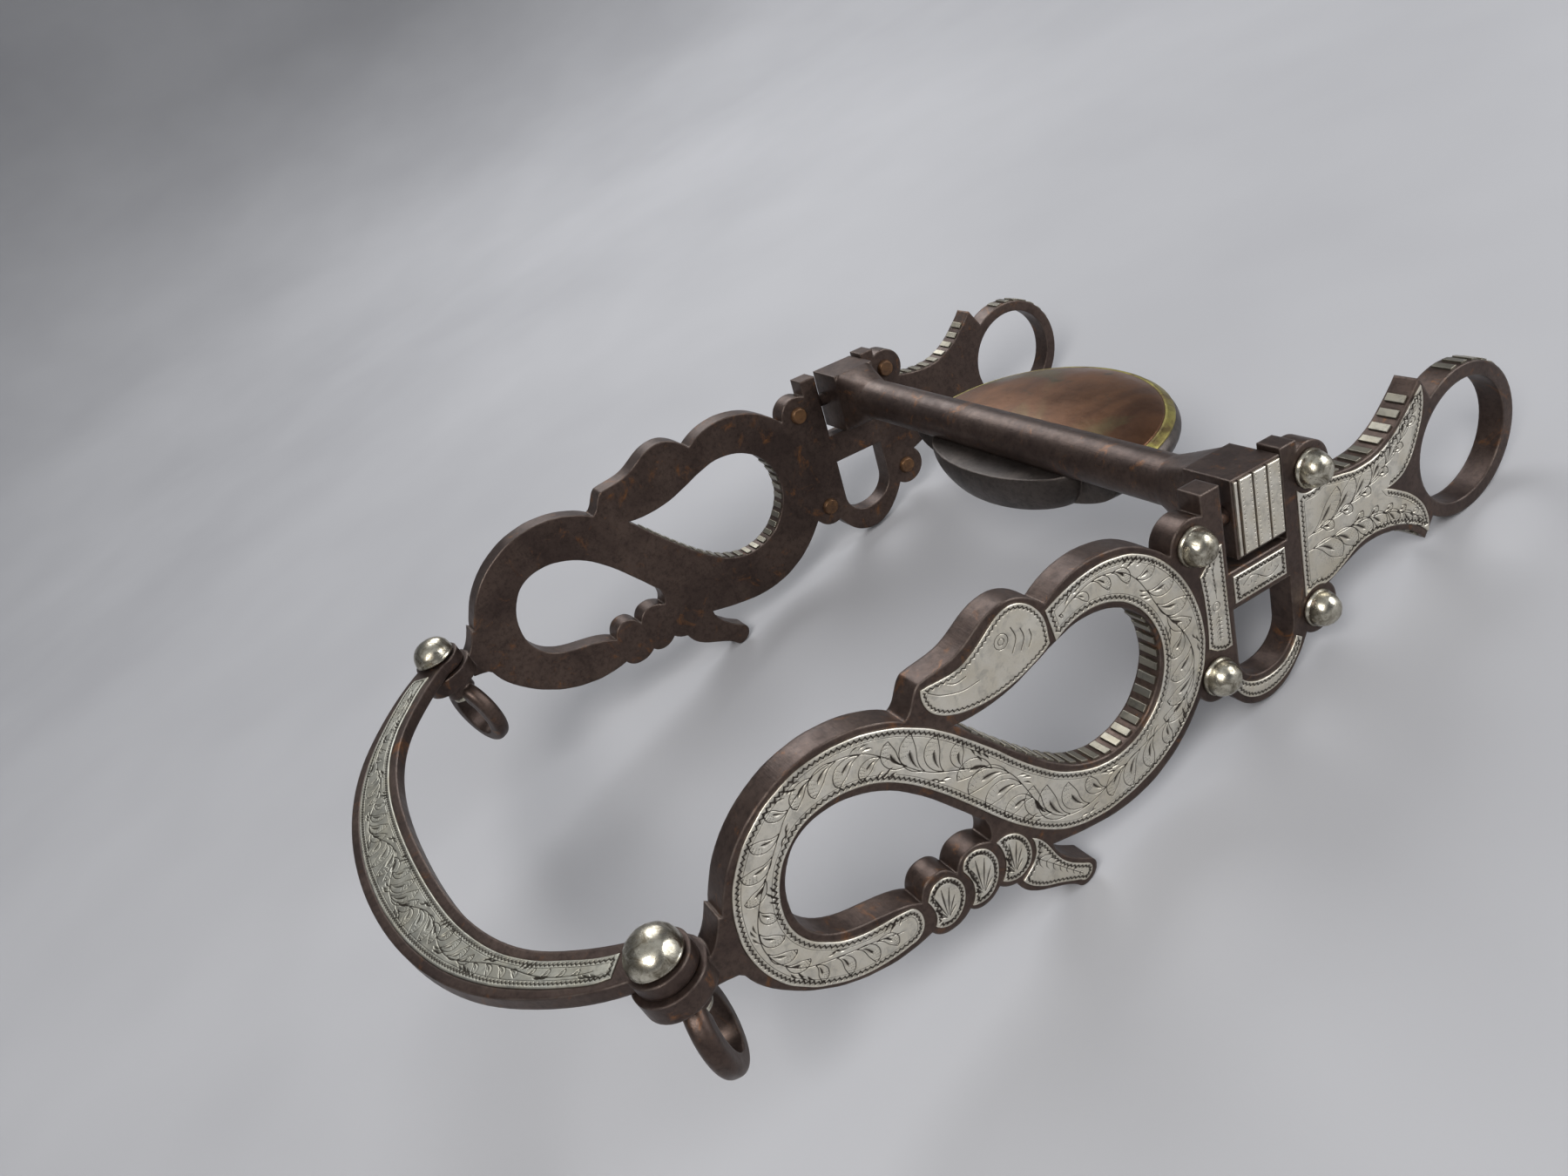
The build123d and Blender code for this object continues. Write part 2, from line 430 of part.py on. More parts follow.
# ---------------------------------------------------------------------------
# near cheek: one forged steel plate
# ---------------------------------------------------------------------------
with BuildPart() as near_cheek:
    with BuildSketch(RIG.offset(IN)):
        # snake: neck, belly, rattles, tail and head as one outline
        with BuildLine():
            Spline(*NECK_TOP)
            Line(NECK_TOP[-1], (-6.0, 4.0))
            Line((-6.0, 4.0), (-6.0, -16.0))
            Line((-6.0, -16.0), BELLY[0])
            Spline(*BELLY)
            Spline(*BUTTON_TOP)
            Spline(*BUTTON_TIP)
            Spline(*BUTTON_LOW)
            Spline(*RATTLE3_LOW)
            Spline(*RATTLE2_LOW)
            Spline(*RATTLE1_LOW)
            Spline(*TAIL_LOW)
            Spline(*SNOUT)
            Spline(*HEAD_TOP)
        make_face()
        # ear lobes, straps and crossbar around the mouth notch
        with Locations(*CONCHOS):
            Circle(LOBE_R)
        with Locations((-4.5, -5.7)):
            Rectangle(9.0, 29.0)
        with Locations((-2.2, 10.5)):
            Rectangle(4.4, 13.0)
        with Locations((NOTCH + 1.9, -0.8)):
            Rectangle(3.8, 36.6)
        with Locations((NOTCH / 2, -3.65)):
            Rectangle(NOTCH + 2, 7.3)
        # curb strap loop
        with BuildLine():
            Spline(*CURB_LOOP_OUT)
            Polyline(CURB_LOOP_OUT[-1], (-5.0, -16.0), (-5.0, -5.0), (18.6, -5.0), CURB_LOOP_OUT[0])
        make_face()
        # purchase and headstall ring
        with BuildLine():
            Spline(*PURCHASE_TOP)
            Polyline(PURCHASE_TOP[-1], (53.4, 11.3), (53.4, -12.9), PURCHASE_LOW[0])
            Spline(*PURCHASE_LOW)
            Line(PURCHASE_LOW[-1], PURCHASE_TOP[0])
        make_face()
        with Locations((RING_S, RING_W)):
            Circle(RING_R)
        # neck that carries the swivel boss
        with BuildLine():
            Spline((-109.6, -13.4), (-107.0, -11.9), (-105.4, -9.6), (-104.2, -6.6))
            Polyline((-104.2, -6.6), (-100.0, -10.0), (-101.5, -20.5), (-104.3, -18.0))
            Spline((-104.3, -18.0), (-106.6, -17.6), (-109.4, -17.4))
            Line((-109.4, -17.4), (-109.6, -13.4))
        make_face()
        # openings
        with BuildLine():
            Spline(*NECK_HOLE[:17])
            Spline(*NECK_HOLE[16:])
        make_face(mode=Mode.SUBTRACT)
        with BuildLine():
            Spline(*TAIL_HOLE_TOP)
            Spline(*TAIL_HOLE_END)
            Spline(*RATTLE2_TOP)
            Spline(*RATTLE1_TOP)
            Spline(*TAIL_HOLE_LOW)
        make_face(mode=Mode.SUBTRACT)
        with BuildLine():
            Spline(*CURB_SLOT_LOW)
            Polyline(CURB_SLOT_LOW[-1], (NOTCH, -7.3), (0.3, -7.3), CURB_SLOT_LOW[0])
        make_face(mode=Mode.SUBTRACT)
        with Locations((RING_S, RING_W)):
            Circle(RING_HOLE_R, mode=Mode.SUBTRACT)
    extrude(amount=PLATE)
    # swivel boss
    with BuildSketch(swivel_plane(BOSS_T1)):
        Circle(BOSS_R)
    extrude(amount=BOSS_T1 - BOSS_T0)
    with BuildSketch(swivel_plane(BOSS_T1 + 1)):
        Circle(SHANK_R)
    extrude(amount=BOSS_T1 - BOSS_T0 + 2, mode=Mode.SUBTRACT)
    # room for the rein loop to turn
    with BuildSketch(swivel_plane(10.2)):
        Circle(4.6)
    extrude(amount=10.2 - BOSS_T1, mode=Mode.SUBTRACT)
    with BuildSketch(swivel_plane(12.0)):
        Circle(6.2)
    extrude(amount=1.8, mode=Mode.SUBTRACT)
    # pockets of the inlays
    add(near_snake_silver.part, mode=Mode.SUBTRACT)
    add(near_head_silver.part, mode=Mode.SUBTRACT)
    add(near_rattle_silver.part, mode=Mode.SUBTRACT)
    add(near_button_silver.part, mode=Mode.SUBTRACT)
    add(near_strap_silver.part, mode=Mode.SUBTRACT)
    add(near_crossbar_silver.part, mode=Mode.SUBTRACT)
    add(near_curb_silver.part, mode=Mode.SUBTRACT)
    add(near_purchase_silver.part, mode=Mode.SUBTRACT)
    add(near_neck_strips.part, mode=Mode.SUBTRACT)
    add(near_purchase_strips.part, mode=Mode.SUBTRACT)
    add(near_ring_strips.part, mode=Mode.SUBTRACT)
    # rivet holes through the ear lobes
    with BuildSketch(RIG.offset(IN - 1)):
        with Locations(*CONCHOS):
            Circle(RIVET_R)
    extrude(amount=PLATE + 2, mode=Mode.SUBTRACT)
    # hinge pin bore along the shank, through both straps
    with BuildSketch(Plane(origin=point(-5.0, HINGE_W, MID), x_dir=(1, 0, 0), z_dir=direction(1, 0, 0))):
        Circle(HINGE_R)
    extrude(amount=24.0, mode=Mode.SUBTRACT)

with BuildPart() as near_conchos:
    with BuildSketch(RIG.offset(OUT)) as concho_base:
        with Locations(*CONCHOS):
            Circle(CONCHO_R)
    extrude(amount=CONCHO_H * 0.45, taper=9)
    with BuildSketch(RIG.offset(OUT + CONCHO_H * 0.45)):
        with Locations(*CONCHOS):
            Circle(CONCHO_R - CONCHO_H * 0.45 * math.tan(math.radians(9)))
    extrude(amount=CONCHO_H * 0.3, taper=30)
    with BuildSketch(RIG.offset(OUT + CONCHO_H * 0.75)):
        with Locations(*CONCHOS):
            Circle(
                CONCHO_R
                - CONCHO_H * 0.45 * math.tan(math.radians(9))
                - CONCHO_H * 0.3 * math.tan(math.radians(30))
            )
    extrude(amount=CONCHO_H * 0.25, taper=60)

with BuildPart() as near_rivets:
    with BuildSketch(RIG.offset(IN)):
        with Locations(*CONCHOS):
            Circle(RIVET_R)
    extrude(amount=PLATE)
    with BuildSketch(RIG.offset(IN)):
        with Locations(*CONCHOS):
            Circle(TAIL_R)
    extrude(amount=-0.9, taper=25)

with BuildPart() as near_hinge_pin:
    with BuildSketch(Plane(origin=point(-5.0, HINGE_W, MID), x_dir=(1, 0, 0), z_dir=direction(1, 0, 0))):
        Circle(HINGE_R)
    extrude(amount=24.0)

# ---------------------------------------------------------------------------
# rein swivels
# ---------------------------------------------------------------------------
with BuildPart() as near_swivel_rivet:
    # domed head, shank and a burred-over end inside the loop
    with BuildSketch(Plane(origin=swivel_plane(0).origin, x_dir=(1, 0, 0), z_dir=direction(SWIVEL_DIR[1], -SWIVEL_DIR[0], 0))):
        with BuildLine():
            Line((0, 0), (DOME_R, 0))
            Spline((DOME_R, 0), (DOME_R * 0.97, DOME_H * 0.33), (DOME_R * 0.72, DOME_H * 0.76), (0, DOME_H), tangents=[(0.0, 1.0), (-1.0, 0.0)])
            Line((0, DOME_H), (0, 0))
        make_face()
    revolve(axis=Axis(swivel_plane(0).origin, SWIVEL_UP))
    with BuildSketch(swivel_plane(0)):
        Circle(SHANK_R)
    extrude(amount=-(COLLAR_T1 + 0.4))
    with BuildSketch(swivel_plane(COLLAR_T1 + 0.3)):
        Circle(2.9)
    extrude(amount=-1.4, taper=18)

LOOP_FRAME = Plane(
    origin=swivel_plane(COLLAR_T0).origin,
    x_dir=direction(
        math.sin(math.radians(LOOP_TURN + 90)) * -SWIVEL_DIR[1],
        math.sin(math.radians(LOOP_TURN + 90)) * SWIVEL_DIR[0],
        math.cos(math.radians(LOOP_TURN + 90)),
    ),
    z_dir=direction(
        math.sin(math.radians(LOOP_TURN)) * -SWIVEL_DIR[1],
        math.sin(math.radians(LOOP_TURN)) * SWIVEL_DIR[0],
        math.cos(math.radians(LOOP_TURN)),
    ),
)
with BuildPart() as near_rein_loop:
    with BuildSketch(LOOP_FRAME) as loop_profile:
        with Locations((0, LOOP_SIGN * 10.0)):
            Ellipse(7.6, 9.4)
    extrude(amount=1.9, both=True)
    fillet(near_rein_loop.edges().filter_by(GeomType.ELLIPSE), 1.55)
    with BuildSketch(LOOP_FRAME):
        with Locations((0, LOOP_SIGN * 10.3)):
            Ellipse(4.3, 6.0)
    extrude(amount=3.0, both=True, mode=Mode.SUBTRACT)
    with BuildSketch(swivel_plane(COLLAR_T1)):
        Circle(3.4)
    extrude(amount=COLLAR_T1 - COLLAR_T0)
    with BuildSketch(swivel_plane(COLLAR_T1 + 4.4)):
        Circle(3.15)
    extrude(amount=4.4, mode=Mode.SUBTRACT)
    with BuildSketch(swivel_plane(COLLAR_T1 + 1)):
        Circle(SHANK_R + 0.05)
    extrude(amount=COLLAR_T1 - COLLAR_T0 + 2, mode=Mode.SUBTRACT)

# ---------------------------------------------------------------------------
# slobber bar
# ---------------------------------------------------------------------------
BOW = swivel_plane(EYE_T1, 0)
with BuildPart() as slobber_silver:
    with BuildSketch(swivel_plane(EYE_T0 + 0.5, 0)):
        with BuildLine():
            Spline(*BOW_SILVER_OUT)
            Line(BOW_SILVER_OUT[-1], BOW_SILVER_IN[0])
            Spline(*BOW_SILVER_IN)
            Line(BOW_SILVER_IN[-1], BOW_SILVER_OUT[0])
        make_face()
    extrude(amount=0.5 + INLAY_PROUD)

with BuildPart() as slobber_bar:
    with BuildSketch(BOW):
        with BuildLine():
            Spline(*BOW_OUT)
            Line(BOW_OUT[-1], BOW_IN[0])
            Spline(*BOW_IN)
            Line(BOW_IN[-1], BOW_OUT[0])
        make_face()
        with Locations((SWIVEL_X, 0), (-SWIVEL_X, 0)):
            Circle(EYE_R)
        with Locations((SWIVEL_X, 0), (-SWIVEL_X, 0)):
            Circle(SHANK_R + 0.35, mode=Mode.SUBTRACT)
    extrude(amount=EYE_T1 - EYE_T0)
    add(slobber_silver.part, mode=Mode.SUBTRACT)

# ---------------------------------------------------------------------------
# mouthpiece
# ---------------------------------------------------------------------------
BLOCK_S, BLOCK_W = (BLOCK_S0 + BLOCK_S1) / 2, (BLOCK_W0 + BLOCK_W1) / 2
with BuildPart() as near_block_silver:
    with BuildSketch(RIG.offset(OUT - 0.4)):
        with Locations((3.35, BLOCK_W)):
            Rectangle(0.6, BLOCK_W1 - BLOCK_W0 - 1.0)
        with Locations((5.75, BLOCK_W), (9.1, BLOCK_W), (12.45, BLOCK_W)):
            Rectangle(2.85, BLOCK_W1 - BLOCK_W0 - 1.0)
    extrude(amount=0.4 + 0.45)

with BuildPart() as off_block_silver:
    mirror(near_block_silver.part, about=Plane.YZ)

with BuildPart() as mouthpiece_bar:
    with BuildSketch(RIG.offset(-50)):
        with Locations((BAR_S, BAR_W)):
            Circle(BAR_R)
    extrude(amount=100)
    for side in (1, -1):
        with BuildSketch(RIG.offset(side * 49.9)):
            with Locations((BAR_S, BAR_W)):
                Circle(BAR_R)
        with BuildSketch(RIG.offset(side * 58.5)):
            with Locations((BLOCK_S, BLOCK_W)):
                RectangleRounded(BLOCK_S1 - BLOCK_S0, BLOCK_W1 - BLOCK_W0, 2.0)
        loft()
        with BuildSketch(RIG.offset(side * 58.4)):
            with Locations((BLOCK_S, BLOCK_W)):
                Rectangle(BLOCK_S1 - BLOCK_S0, BLOCK_W1 - BLOCK_W0)
        extrude(amount=side * (OUT - 58.4))
        with BuildSketch(Plane(origin=point(BLOCK_S0 - 1, HINGE_W, side * MID), x_dir=(1, 0, 0), z_dir=direction(1, 0, 0))):
            Circle(HINGE_R + HINGE_PLAY)
        extrude(amount=BLOCK_S1 - BLOCK_S0 + 2, mode=Mode.SUBTRACT)
    add(near_block_silver.part, mode=Mode.SUBTRACT)
    add(off_block_silver.part, mode=Mode.SUBTRACT)

# spoon: copper shell above, steel cup below, a brass seam between them
SPOON_PLANE = Plane(origin=point(SPOON_S, SPOON_W, 0), x_dir=(1, 0, 0), z_dir=direction(-math.sin(math.radians(SPOON_TILT)), math.cos(math.radians(SPOON_TILT)), 0))


def lens(grow, low, high):
    """Zone of a flattened ellipsoid about the spoon's centre, between two latitudes."""
    with BuildPart() as shape:
        Sphere(1.0, arc_size1=low, arc_size2=high, align=None)
        scale(by=(SPOON_X + grow, SPOON_L + grow, SPOON_T + grow))
    return SPOON_PLANE.location * shape.part


def behind(s):
    """Everything behind a station of the shank line."""
    return Location(RIG) * Pos(s - 60, 0, 0) * Box(120, 160, 180)


def grown(latitude):
    """Latitude on the grown spheroid that lies in the same plane."""
    return math.degrees(math.asin(SPOON_T * math.sin(math.radians(latitude)) / (SPOON_T + 0.35)))


CUT_AT_BAR = behind(BAR_S)
UPPER = lens(0.0, SEAM_HIGH, 90)
SEAM = lens(0.35, grown(SEAM_LOW), grown(SEAM_HIGH))
LOWER = lens(0.0, -90, SEAM_LOW)

# rounded back of the cup, under the bar
with BuildPart() as cup_back:
    Sphere(1.0)
    scale(by=(CUP_BACK_X, CUP_BACK_L, CUP_BACK_T))
BACK = SPOON_PLANE.location * Pos(0, BAR_S - SPOON_S, 0) * cup_back.part

with BuildPart() as bar_core:
    with BuildSketch(RIG.offset(-60)):
        with Locations((BAR_S, BAR_W)):
            Circle(BAR_R)
    extrude(amount=120)

with BuildPart() as spoon_shell:
    add(UPPER)
    add(CUT_AT_BAR, mode=Mode.SUBTRACT)
    add(bar_core.part, mode=Mode.SUBTRACT)

with BuildPart() as spoon_seam:
    add(SEAM)
    add(CUT_AT_BAR, mode=Mode.SUBTRACT)
    add(bar_core.part, mode=Mode.SUBTRACT)

with BuildPart() as cup_front:
    add(LOWER)
    add(CUT_AT_BAR, mode=Mode.SUBTRACT)

with BuildPart() as cup_root:
    add(LOWER)
    add(BACK, mode=Mode.INTERSECT)

with BuildPart() as spoon_cup:
    add(cup_front.part)
    add(cup_root.part)
    add(bar_core.part, mode=Mode.SUBTRACT)

# ---------------------------------------------------------------------------
# off side: mirror of the near side
# ---------------------------------------------------------------------------
with BuildPart() as off_cheek:
    mirror(near_cheek.part, about=Plane.YZ)

with BuildPart() as off_snake_silver:
    mirror(near_snake_silver.part, about=Plane.YZ)

with BuildPart() as off_head_silver:
    mirror(near_head_silver.part, about=Plane.YZ)

with BuildPart() as off_rattle_silver:
    mirror(near_rattle_silver.part, about=Plane.YZ)

with BuildPart() as off_button_silver:
    mirror(near_button_silver.part, about=Plane.YZ)

with BuildPart() as off_strap_silver:
    mirror(near_strap_silver.part, about=Plane.YZ)

with BuildPart() as off_crossbar_silver:
    mirror(near_crossbar_silver.part, about=Plane.YZ)

with BuildPart() as off_curb_silver:
    mirror(near_curb_silver.part, about=Plane.YZ)

with BuildPart() as off_purchase_silver:
    mirror(near_purchase_silver.part, about=Plane.YZ)

with BuildPart() as off_neck_strips:
    mirror(near_neck_strips.part, about=Plane.YZ)

with BuildPart() as off_purchase_strips:
    mirror(near_purchase_strips.part, about=Plane.YZ)

with BuildPart() as off_ring_strips:
    mirror(near_ring_strips.part, about=Plane.YZ)

with BuildPart() as off_conchos:
    mirror(near_conchos.part, about=Plane.YZ)

with BuildPart() as off_rivets:
    mirror(near_rivets.part, about=Plane.YZ)

with BuildPart() as off_hinge_pin:
    mirror(near_hinge_pin.part, about=Plane.YZ)

with BuildPart() as off_swivel_rivet:
    mirror(near_swivel_rivet.part, about=Plane.YZ)

with BuildPart() as off_rein_loop:
    mirror(near_rein_loop.part, about=Plane.YZ)

# ---------------------------------------------------------------------------
# labels and files
# ---------------------------------------------------------------------------
near_cheek.part.label = "near_cheek"
export_step(near_cheek.part, "parts/near_cheek.step")
near_snake_silver.part.label = "near_snake_silver"
export_step(near_snake_silver.part, "parts/near_snake_silver.step")
near_head_silver.part.label = "near_head_silver"
export_step(near_head_silver.part, "parts/near_head_silver.step")
near_rattle_silver.part.label = "near_rattle_silver"
export_step(near_rattle_silver.part, "parts/near_rattle_silver.step")
near_button_silver.part.label = "near_button_silver"
export_step(near_button_silver.part, "parts/near_button_silver.step")
near_strap_silver.part.label = "near_strap_silver"
export_step(near_strap_silver.part, "parts/near_strap_silver.step")
near_crossbar_silver.part.label = "near_crossbar_silver"
export_step(near_crossbar_silver.part, "parts/near_crossbar_silver.step")
near_curb_silver.part.label = "near_curb_silver"
export_step(near_curb_silver.part, "parts/near_curb_silver.step")
near_purchase_silver.part.label = "near_purchase_silver"
export_step(near_purchase_silver.part, "parts/near_purchase_silver.step")
near_neck_strips.part.label = "near_neck_strips"
export_step(near_neck_strips.part, "parts/near_neck_strips.step")
near_purchase_strips.part.label = "near_purchase_strips"
export_step(near_purchase_strips.part, "parts/near_purchase_strips.step")
near_ring_strips.part.label = "near_ring_strips"
export_step(near_ring_strips.part, "parts/near_ring_strips.step")
near_conchos.part.label = "near_conchos"
export_step(near_conchos.part, "parts/near_conchos.step")
near_rivets.part.label = "near_rivets"
export_step(near_rivets.part, "parts/near_rivets.step")
near_hinge_pin.part.label = "near_hinge_pin"
export_step(near_hinge_pin.part, "parts/near_hinge_pin.step")
near_swivel_rivet.part.label = "near_swivel_rivet"
export_step(near_swivel_rivet.part, "parts/near_swivel_rivet.step")
near_rein_loop.part.label = "near_rein_loop"
export_step(near_rein_loop.part, "parts/near_rein_loop.step")
off_cheek.part.label = "off_cheek"
export_step(off_cheek.part, "parts/off_cheek.step")
off_snake_silver.part.label = "off_snake_silver"
export_step(off_snake_silver.part, "parts/off_snake_silver.step")
off_head_silver.part.label = "off_head_silver"
export_step(off_head_silver.part, "parts/off_head_silver.step")
off_rattle_silver.part.label = "off_rattle_silver"
export_step(off_rattle_silver.part, "parts/off_rattle_silver.step")
off_button_silver.part.label = "off_button_silver"
export_step(off_button_silver.part, "parts/off_button_silver.step")
off_strap_silver.part.label = "off_strap_silver"
export_step(off_strap_silver.part, "parts/off_strap_silver.step")
off_crossbar_silver.part.label = "off_crossbar_silver"
export_step(off_crossbar_silver.part, "parts/off_crossbar_silver.step")
off_curb_silver.part.label = "off_curb_silver"
export_step(off_curb_silver.part, "parts/off_curb_silver.step")
off_purchase_silver.part.label = "off_purchase_silver"
export_step(off_purchase_silver.part, "parts/off_purchase_silver.step")
off_neck_strips.part.label = "off_neck_strips"
export_step(off_neck_strips.part, "parts/off_neck_strips.step")
off_purchase_strips.part.label = "off_purchase_strips"
export_step(off_purchase_strips.part, "parts/off_purchase_strips.step")
off_ring_strips.part.label = "off_ring_strips"
export_step(off_ring_strips.part, "parts/off_ring_strips.step")
off_conchos.part.label = "off_conchos"
export_step(off_conchos.part, "parts/off_conchos.step")
off_rivets.part.label = "off_rivets"
export_step(off_rivets.part, "parts/off_rivets.step")
off_hinge_pin.part.label = "off_hinge_pin"
export_step(off_hinge_pin.part, "parts/off_hinge_pin.step")
off_swivel_rivet.part.label = "off_swivel_rivet"
export_step(off_swivel_rivet.part, "parts/off_swivel_rivet.step")
off_rein_loop.part.label = "off_rein_loop"
export_step(off_rein_loop.part, "parts/off_rein_loop.step")
mouthpiece_bar.part.label = "mouthpiece_bar"
export_step(mouthpiece_bar.part, "parts/mouthpiece_bar.step")
near_block_silver.part.label = "near_block_silver"
export_step(near_block_silver.part, "parts/near_block_silver.step")
off_block_silver.part.label = "off_block_silver"
export_step(off_block_silver.part, "parts/off_block_silver.step")
spoon_shell.part.label = "spoon_shell"
export_step(spoon_shell.part, "parts/spoon_shell.step")
spoon_seam.part.label = "spoon_seam"
export_step(spoon_seam.part, "parts/spoon_seam.step")
spoon_cup.part.label = "spoon_cup"
export_step(spoon_cup.part, "parts/spoon_cup.step")
slobber_bar.part.label = "slobber_bar"
export_step(slobber_bar.part, "parts/slobber_bar.step")
slobber_silver.part.label = "slobber_silver"
export_step(slobber_silver.part, "parts/slobber_silver.step")
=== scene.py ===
import math
import time

import bpy
import numpy as np
from mathutils import Matrix, Vector
from mathutils.geometry import delaunay_2d_cdt


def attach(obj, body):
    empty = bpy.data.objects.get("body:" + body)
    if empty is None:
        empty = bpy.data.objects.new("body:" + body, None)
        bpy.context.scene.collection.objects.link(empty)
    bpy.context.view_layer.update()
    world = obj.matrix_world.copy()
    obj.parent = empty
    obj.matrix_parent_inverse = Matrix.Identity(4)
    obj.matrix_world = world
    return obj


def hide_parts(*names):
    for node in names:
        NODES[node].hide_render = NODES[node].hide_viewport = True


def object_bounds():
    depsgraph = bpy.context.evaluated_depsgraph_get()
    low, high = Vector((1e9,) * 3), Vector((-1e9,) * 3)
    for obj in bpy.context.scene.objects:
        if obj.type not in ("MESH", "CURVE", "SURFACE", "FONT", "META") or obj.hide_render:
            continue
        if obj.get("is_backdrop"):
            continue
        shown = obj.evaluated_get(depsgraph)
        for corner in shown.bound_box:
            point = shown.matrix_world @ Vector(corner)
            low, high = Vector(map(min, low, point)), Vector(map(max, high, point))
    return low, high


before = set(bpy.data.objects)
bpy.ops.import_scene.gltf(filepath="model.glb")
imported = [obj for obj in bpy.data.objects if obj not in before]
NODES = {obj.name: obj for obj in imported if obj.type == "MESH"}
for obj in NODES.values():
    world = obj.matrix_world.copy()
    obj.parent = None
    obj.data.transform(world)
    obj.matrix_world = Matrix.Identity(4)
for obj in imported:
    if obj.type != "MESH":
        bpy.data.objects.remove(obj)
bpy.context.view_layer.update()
RNG = np.random.default_rng(11)

# ---------------------------------------------------------------------------
# frames: shank line s and width w on a cheek, in mm
# ---------------------------------------------------------------------------
TILT = math.radians(14.52)
E_X = np.array([1.0, 0, 0])
E_S = np.array([0, math.cos(TILT), -math.sin(TILT)])
E_W = np.array([0, math.sin(TILT), math.cos(TILT)])
RIG = np.array([0, 36.25, 31.4])
UP = 0.225 * -E_S + 0.974 * E_W
UP = UP / np.linalg.norm(UP)
AHEAD = np.cross(UP, E_X)
CHEEK = (RIG, E_S, E_W, E_X)
BOW = (RIG - 114.0 * E_S - 9.3 * E_W - 3.2 * UP, E_X, AHEAD, UP)


# ---------------------------------------------------------------------------
# materials
# ---------------------------------------------------------------------------
class Mat:
    def __init__(self, name):
        self.m = bpy.data.materials.new(name)
        self.m.use_nodes = True
        self.t = self.m.node_tree
        self.bsdf = self.t.nodes["Principled BSDF"]
        self.co = self.node("ShaderNodeTexCoord").outputs["Object"]

    def node(self, kind, **props):
        n = self.t.nodes.new(kind)
        for k, v in props.items():
            setattr(n, k, v)
        return n

    def link(self, a, b):
        self.t.links.new(a, b)

    def noise(self, scale, detail=6.0, rough=0.6, distortion=0.0, stretch=None):
        n = self.node("ShaderNodeTexNoise")
        n.inputs["Scale"].default_value = scale
        n.inputs["Detail"].default_value = detail
        n.inputs["Roughness"].default_value = rough
        n.inputs["Distortion"].default_value = distortion
        if stretch:
            mp = self.node("ShaderNodeMapping")
            mp.inputs["Scale"].default_value = stretch
            mp.inputs["Rotation"].default_value = (0.3, 0.5, 0.4)
            self.link(self.co, mp.inputs["Vector"])
            self.link(mp.outputs[0], n.inputs["Vector"])
        else:
            self.link(self.co, n.inputs["Vector"])
        return n.outputs["Fac"]

    def ramp(self, fac, stops):
        r = self.node("ShaderNodeValToRGB")
        e = r.color_ramp.elements
        while len(e) < len(stops):
            e.new(0.5)
        for i, (p, c) in enumerate(stops):
            e[i].position = p
            e[i].color = (*c, 1) if isinstance(c, tuple) else (c, c, c, 1)
        self.link(fac, r.inputs[0])
        return r.outputs[0]

    def mix(self, fac, a, b, mode="MIX"):
        n = self.node("ShaderNodeMix", data_type="RGBA", blend_type=mode)
        for sock, v in ((n.inputs[0], fac), (n.inputs[6], a), (n.inputs[7], b)):
            if isinstance(v, (int, float)):
                sock.default_value = v if sock == n.inputs[0] else (v, v, v, 1)
            elif isinstance(v, tuple):
                sock.default_value = (*v, 1)
            else:
                self.link(v, sock)
        return n.outputs[2]

    def math(self, op, a, b=0.0, clamp=False):
        n = self.node("ShaderNodeMath", operation=op, use_clamp=clamp)
        for sock, v in ((n.inputs[0], a), (n.inputs[1], b)):
            if isinstance(v, (int, float)):
                sock.default_value = v
            else:
                self.link(v, sock)
        return n.outputs[0]

    def edge(self, radius):
        """1 on convex and concave edges, 0 on flats."""
        b = self.node("ShaderNodeBevel", samples=6)
        b.inputs["Radius"].default_value = radius
        g = self.node("ShaderNodeNewGeometry")
        d = self.node("ShaderNodeVectorMath", operation="DOT_PRODUCT")
        self.link(b.outputs[0], d.inputs[0])
        self.link(g.outputs["Normal"], d.inputs[1])
        return self.ramp(d.outputs["Value"], [(0.82, 1.0), (0.985, 0.0)])

    def finish(self, color, rough, bumps=(), bevel=0.0, metallic=1.0, spec=0.5):
        self.link(color, self.bsdf.inputs["Base Color"])
        if isinstance(rough, float):
            self.bsdf.inputs["Roughness"].default_value = rough
        else:
            self.link(rough, self.bsdf.inputs["Roughness"])
        self.bsdf.inputs["Metallic"].default_value = metallic
        self.bsdf.inputs["Specular IOR Level"].default_value = spec
        last = None
        if bevel:
            b = self.node("ShaderNodeBevel", samples=6)
            b.inputs["Radius"].default_value = bevel
            last = b.outputs[0]
        for h, strength, dist in bumps:
            bp = self.node("ShaderNodeBump")
            bp.inputs["Strength"].default_value = strength
            bp.inputs["Distance"].default_value = dist
            self.link(h, bp.inputs["Height"])
            if last is not None:
                self.link(last, bp.inputs["Normal"])
            last = bp.outputs[0]
        if last is not None:
            self.link(last, self.bsdf.inputs["Normal"])
        return self.m


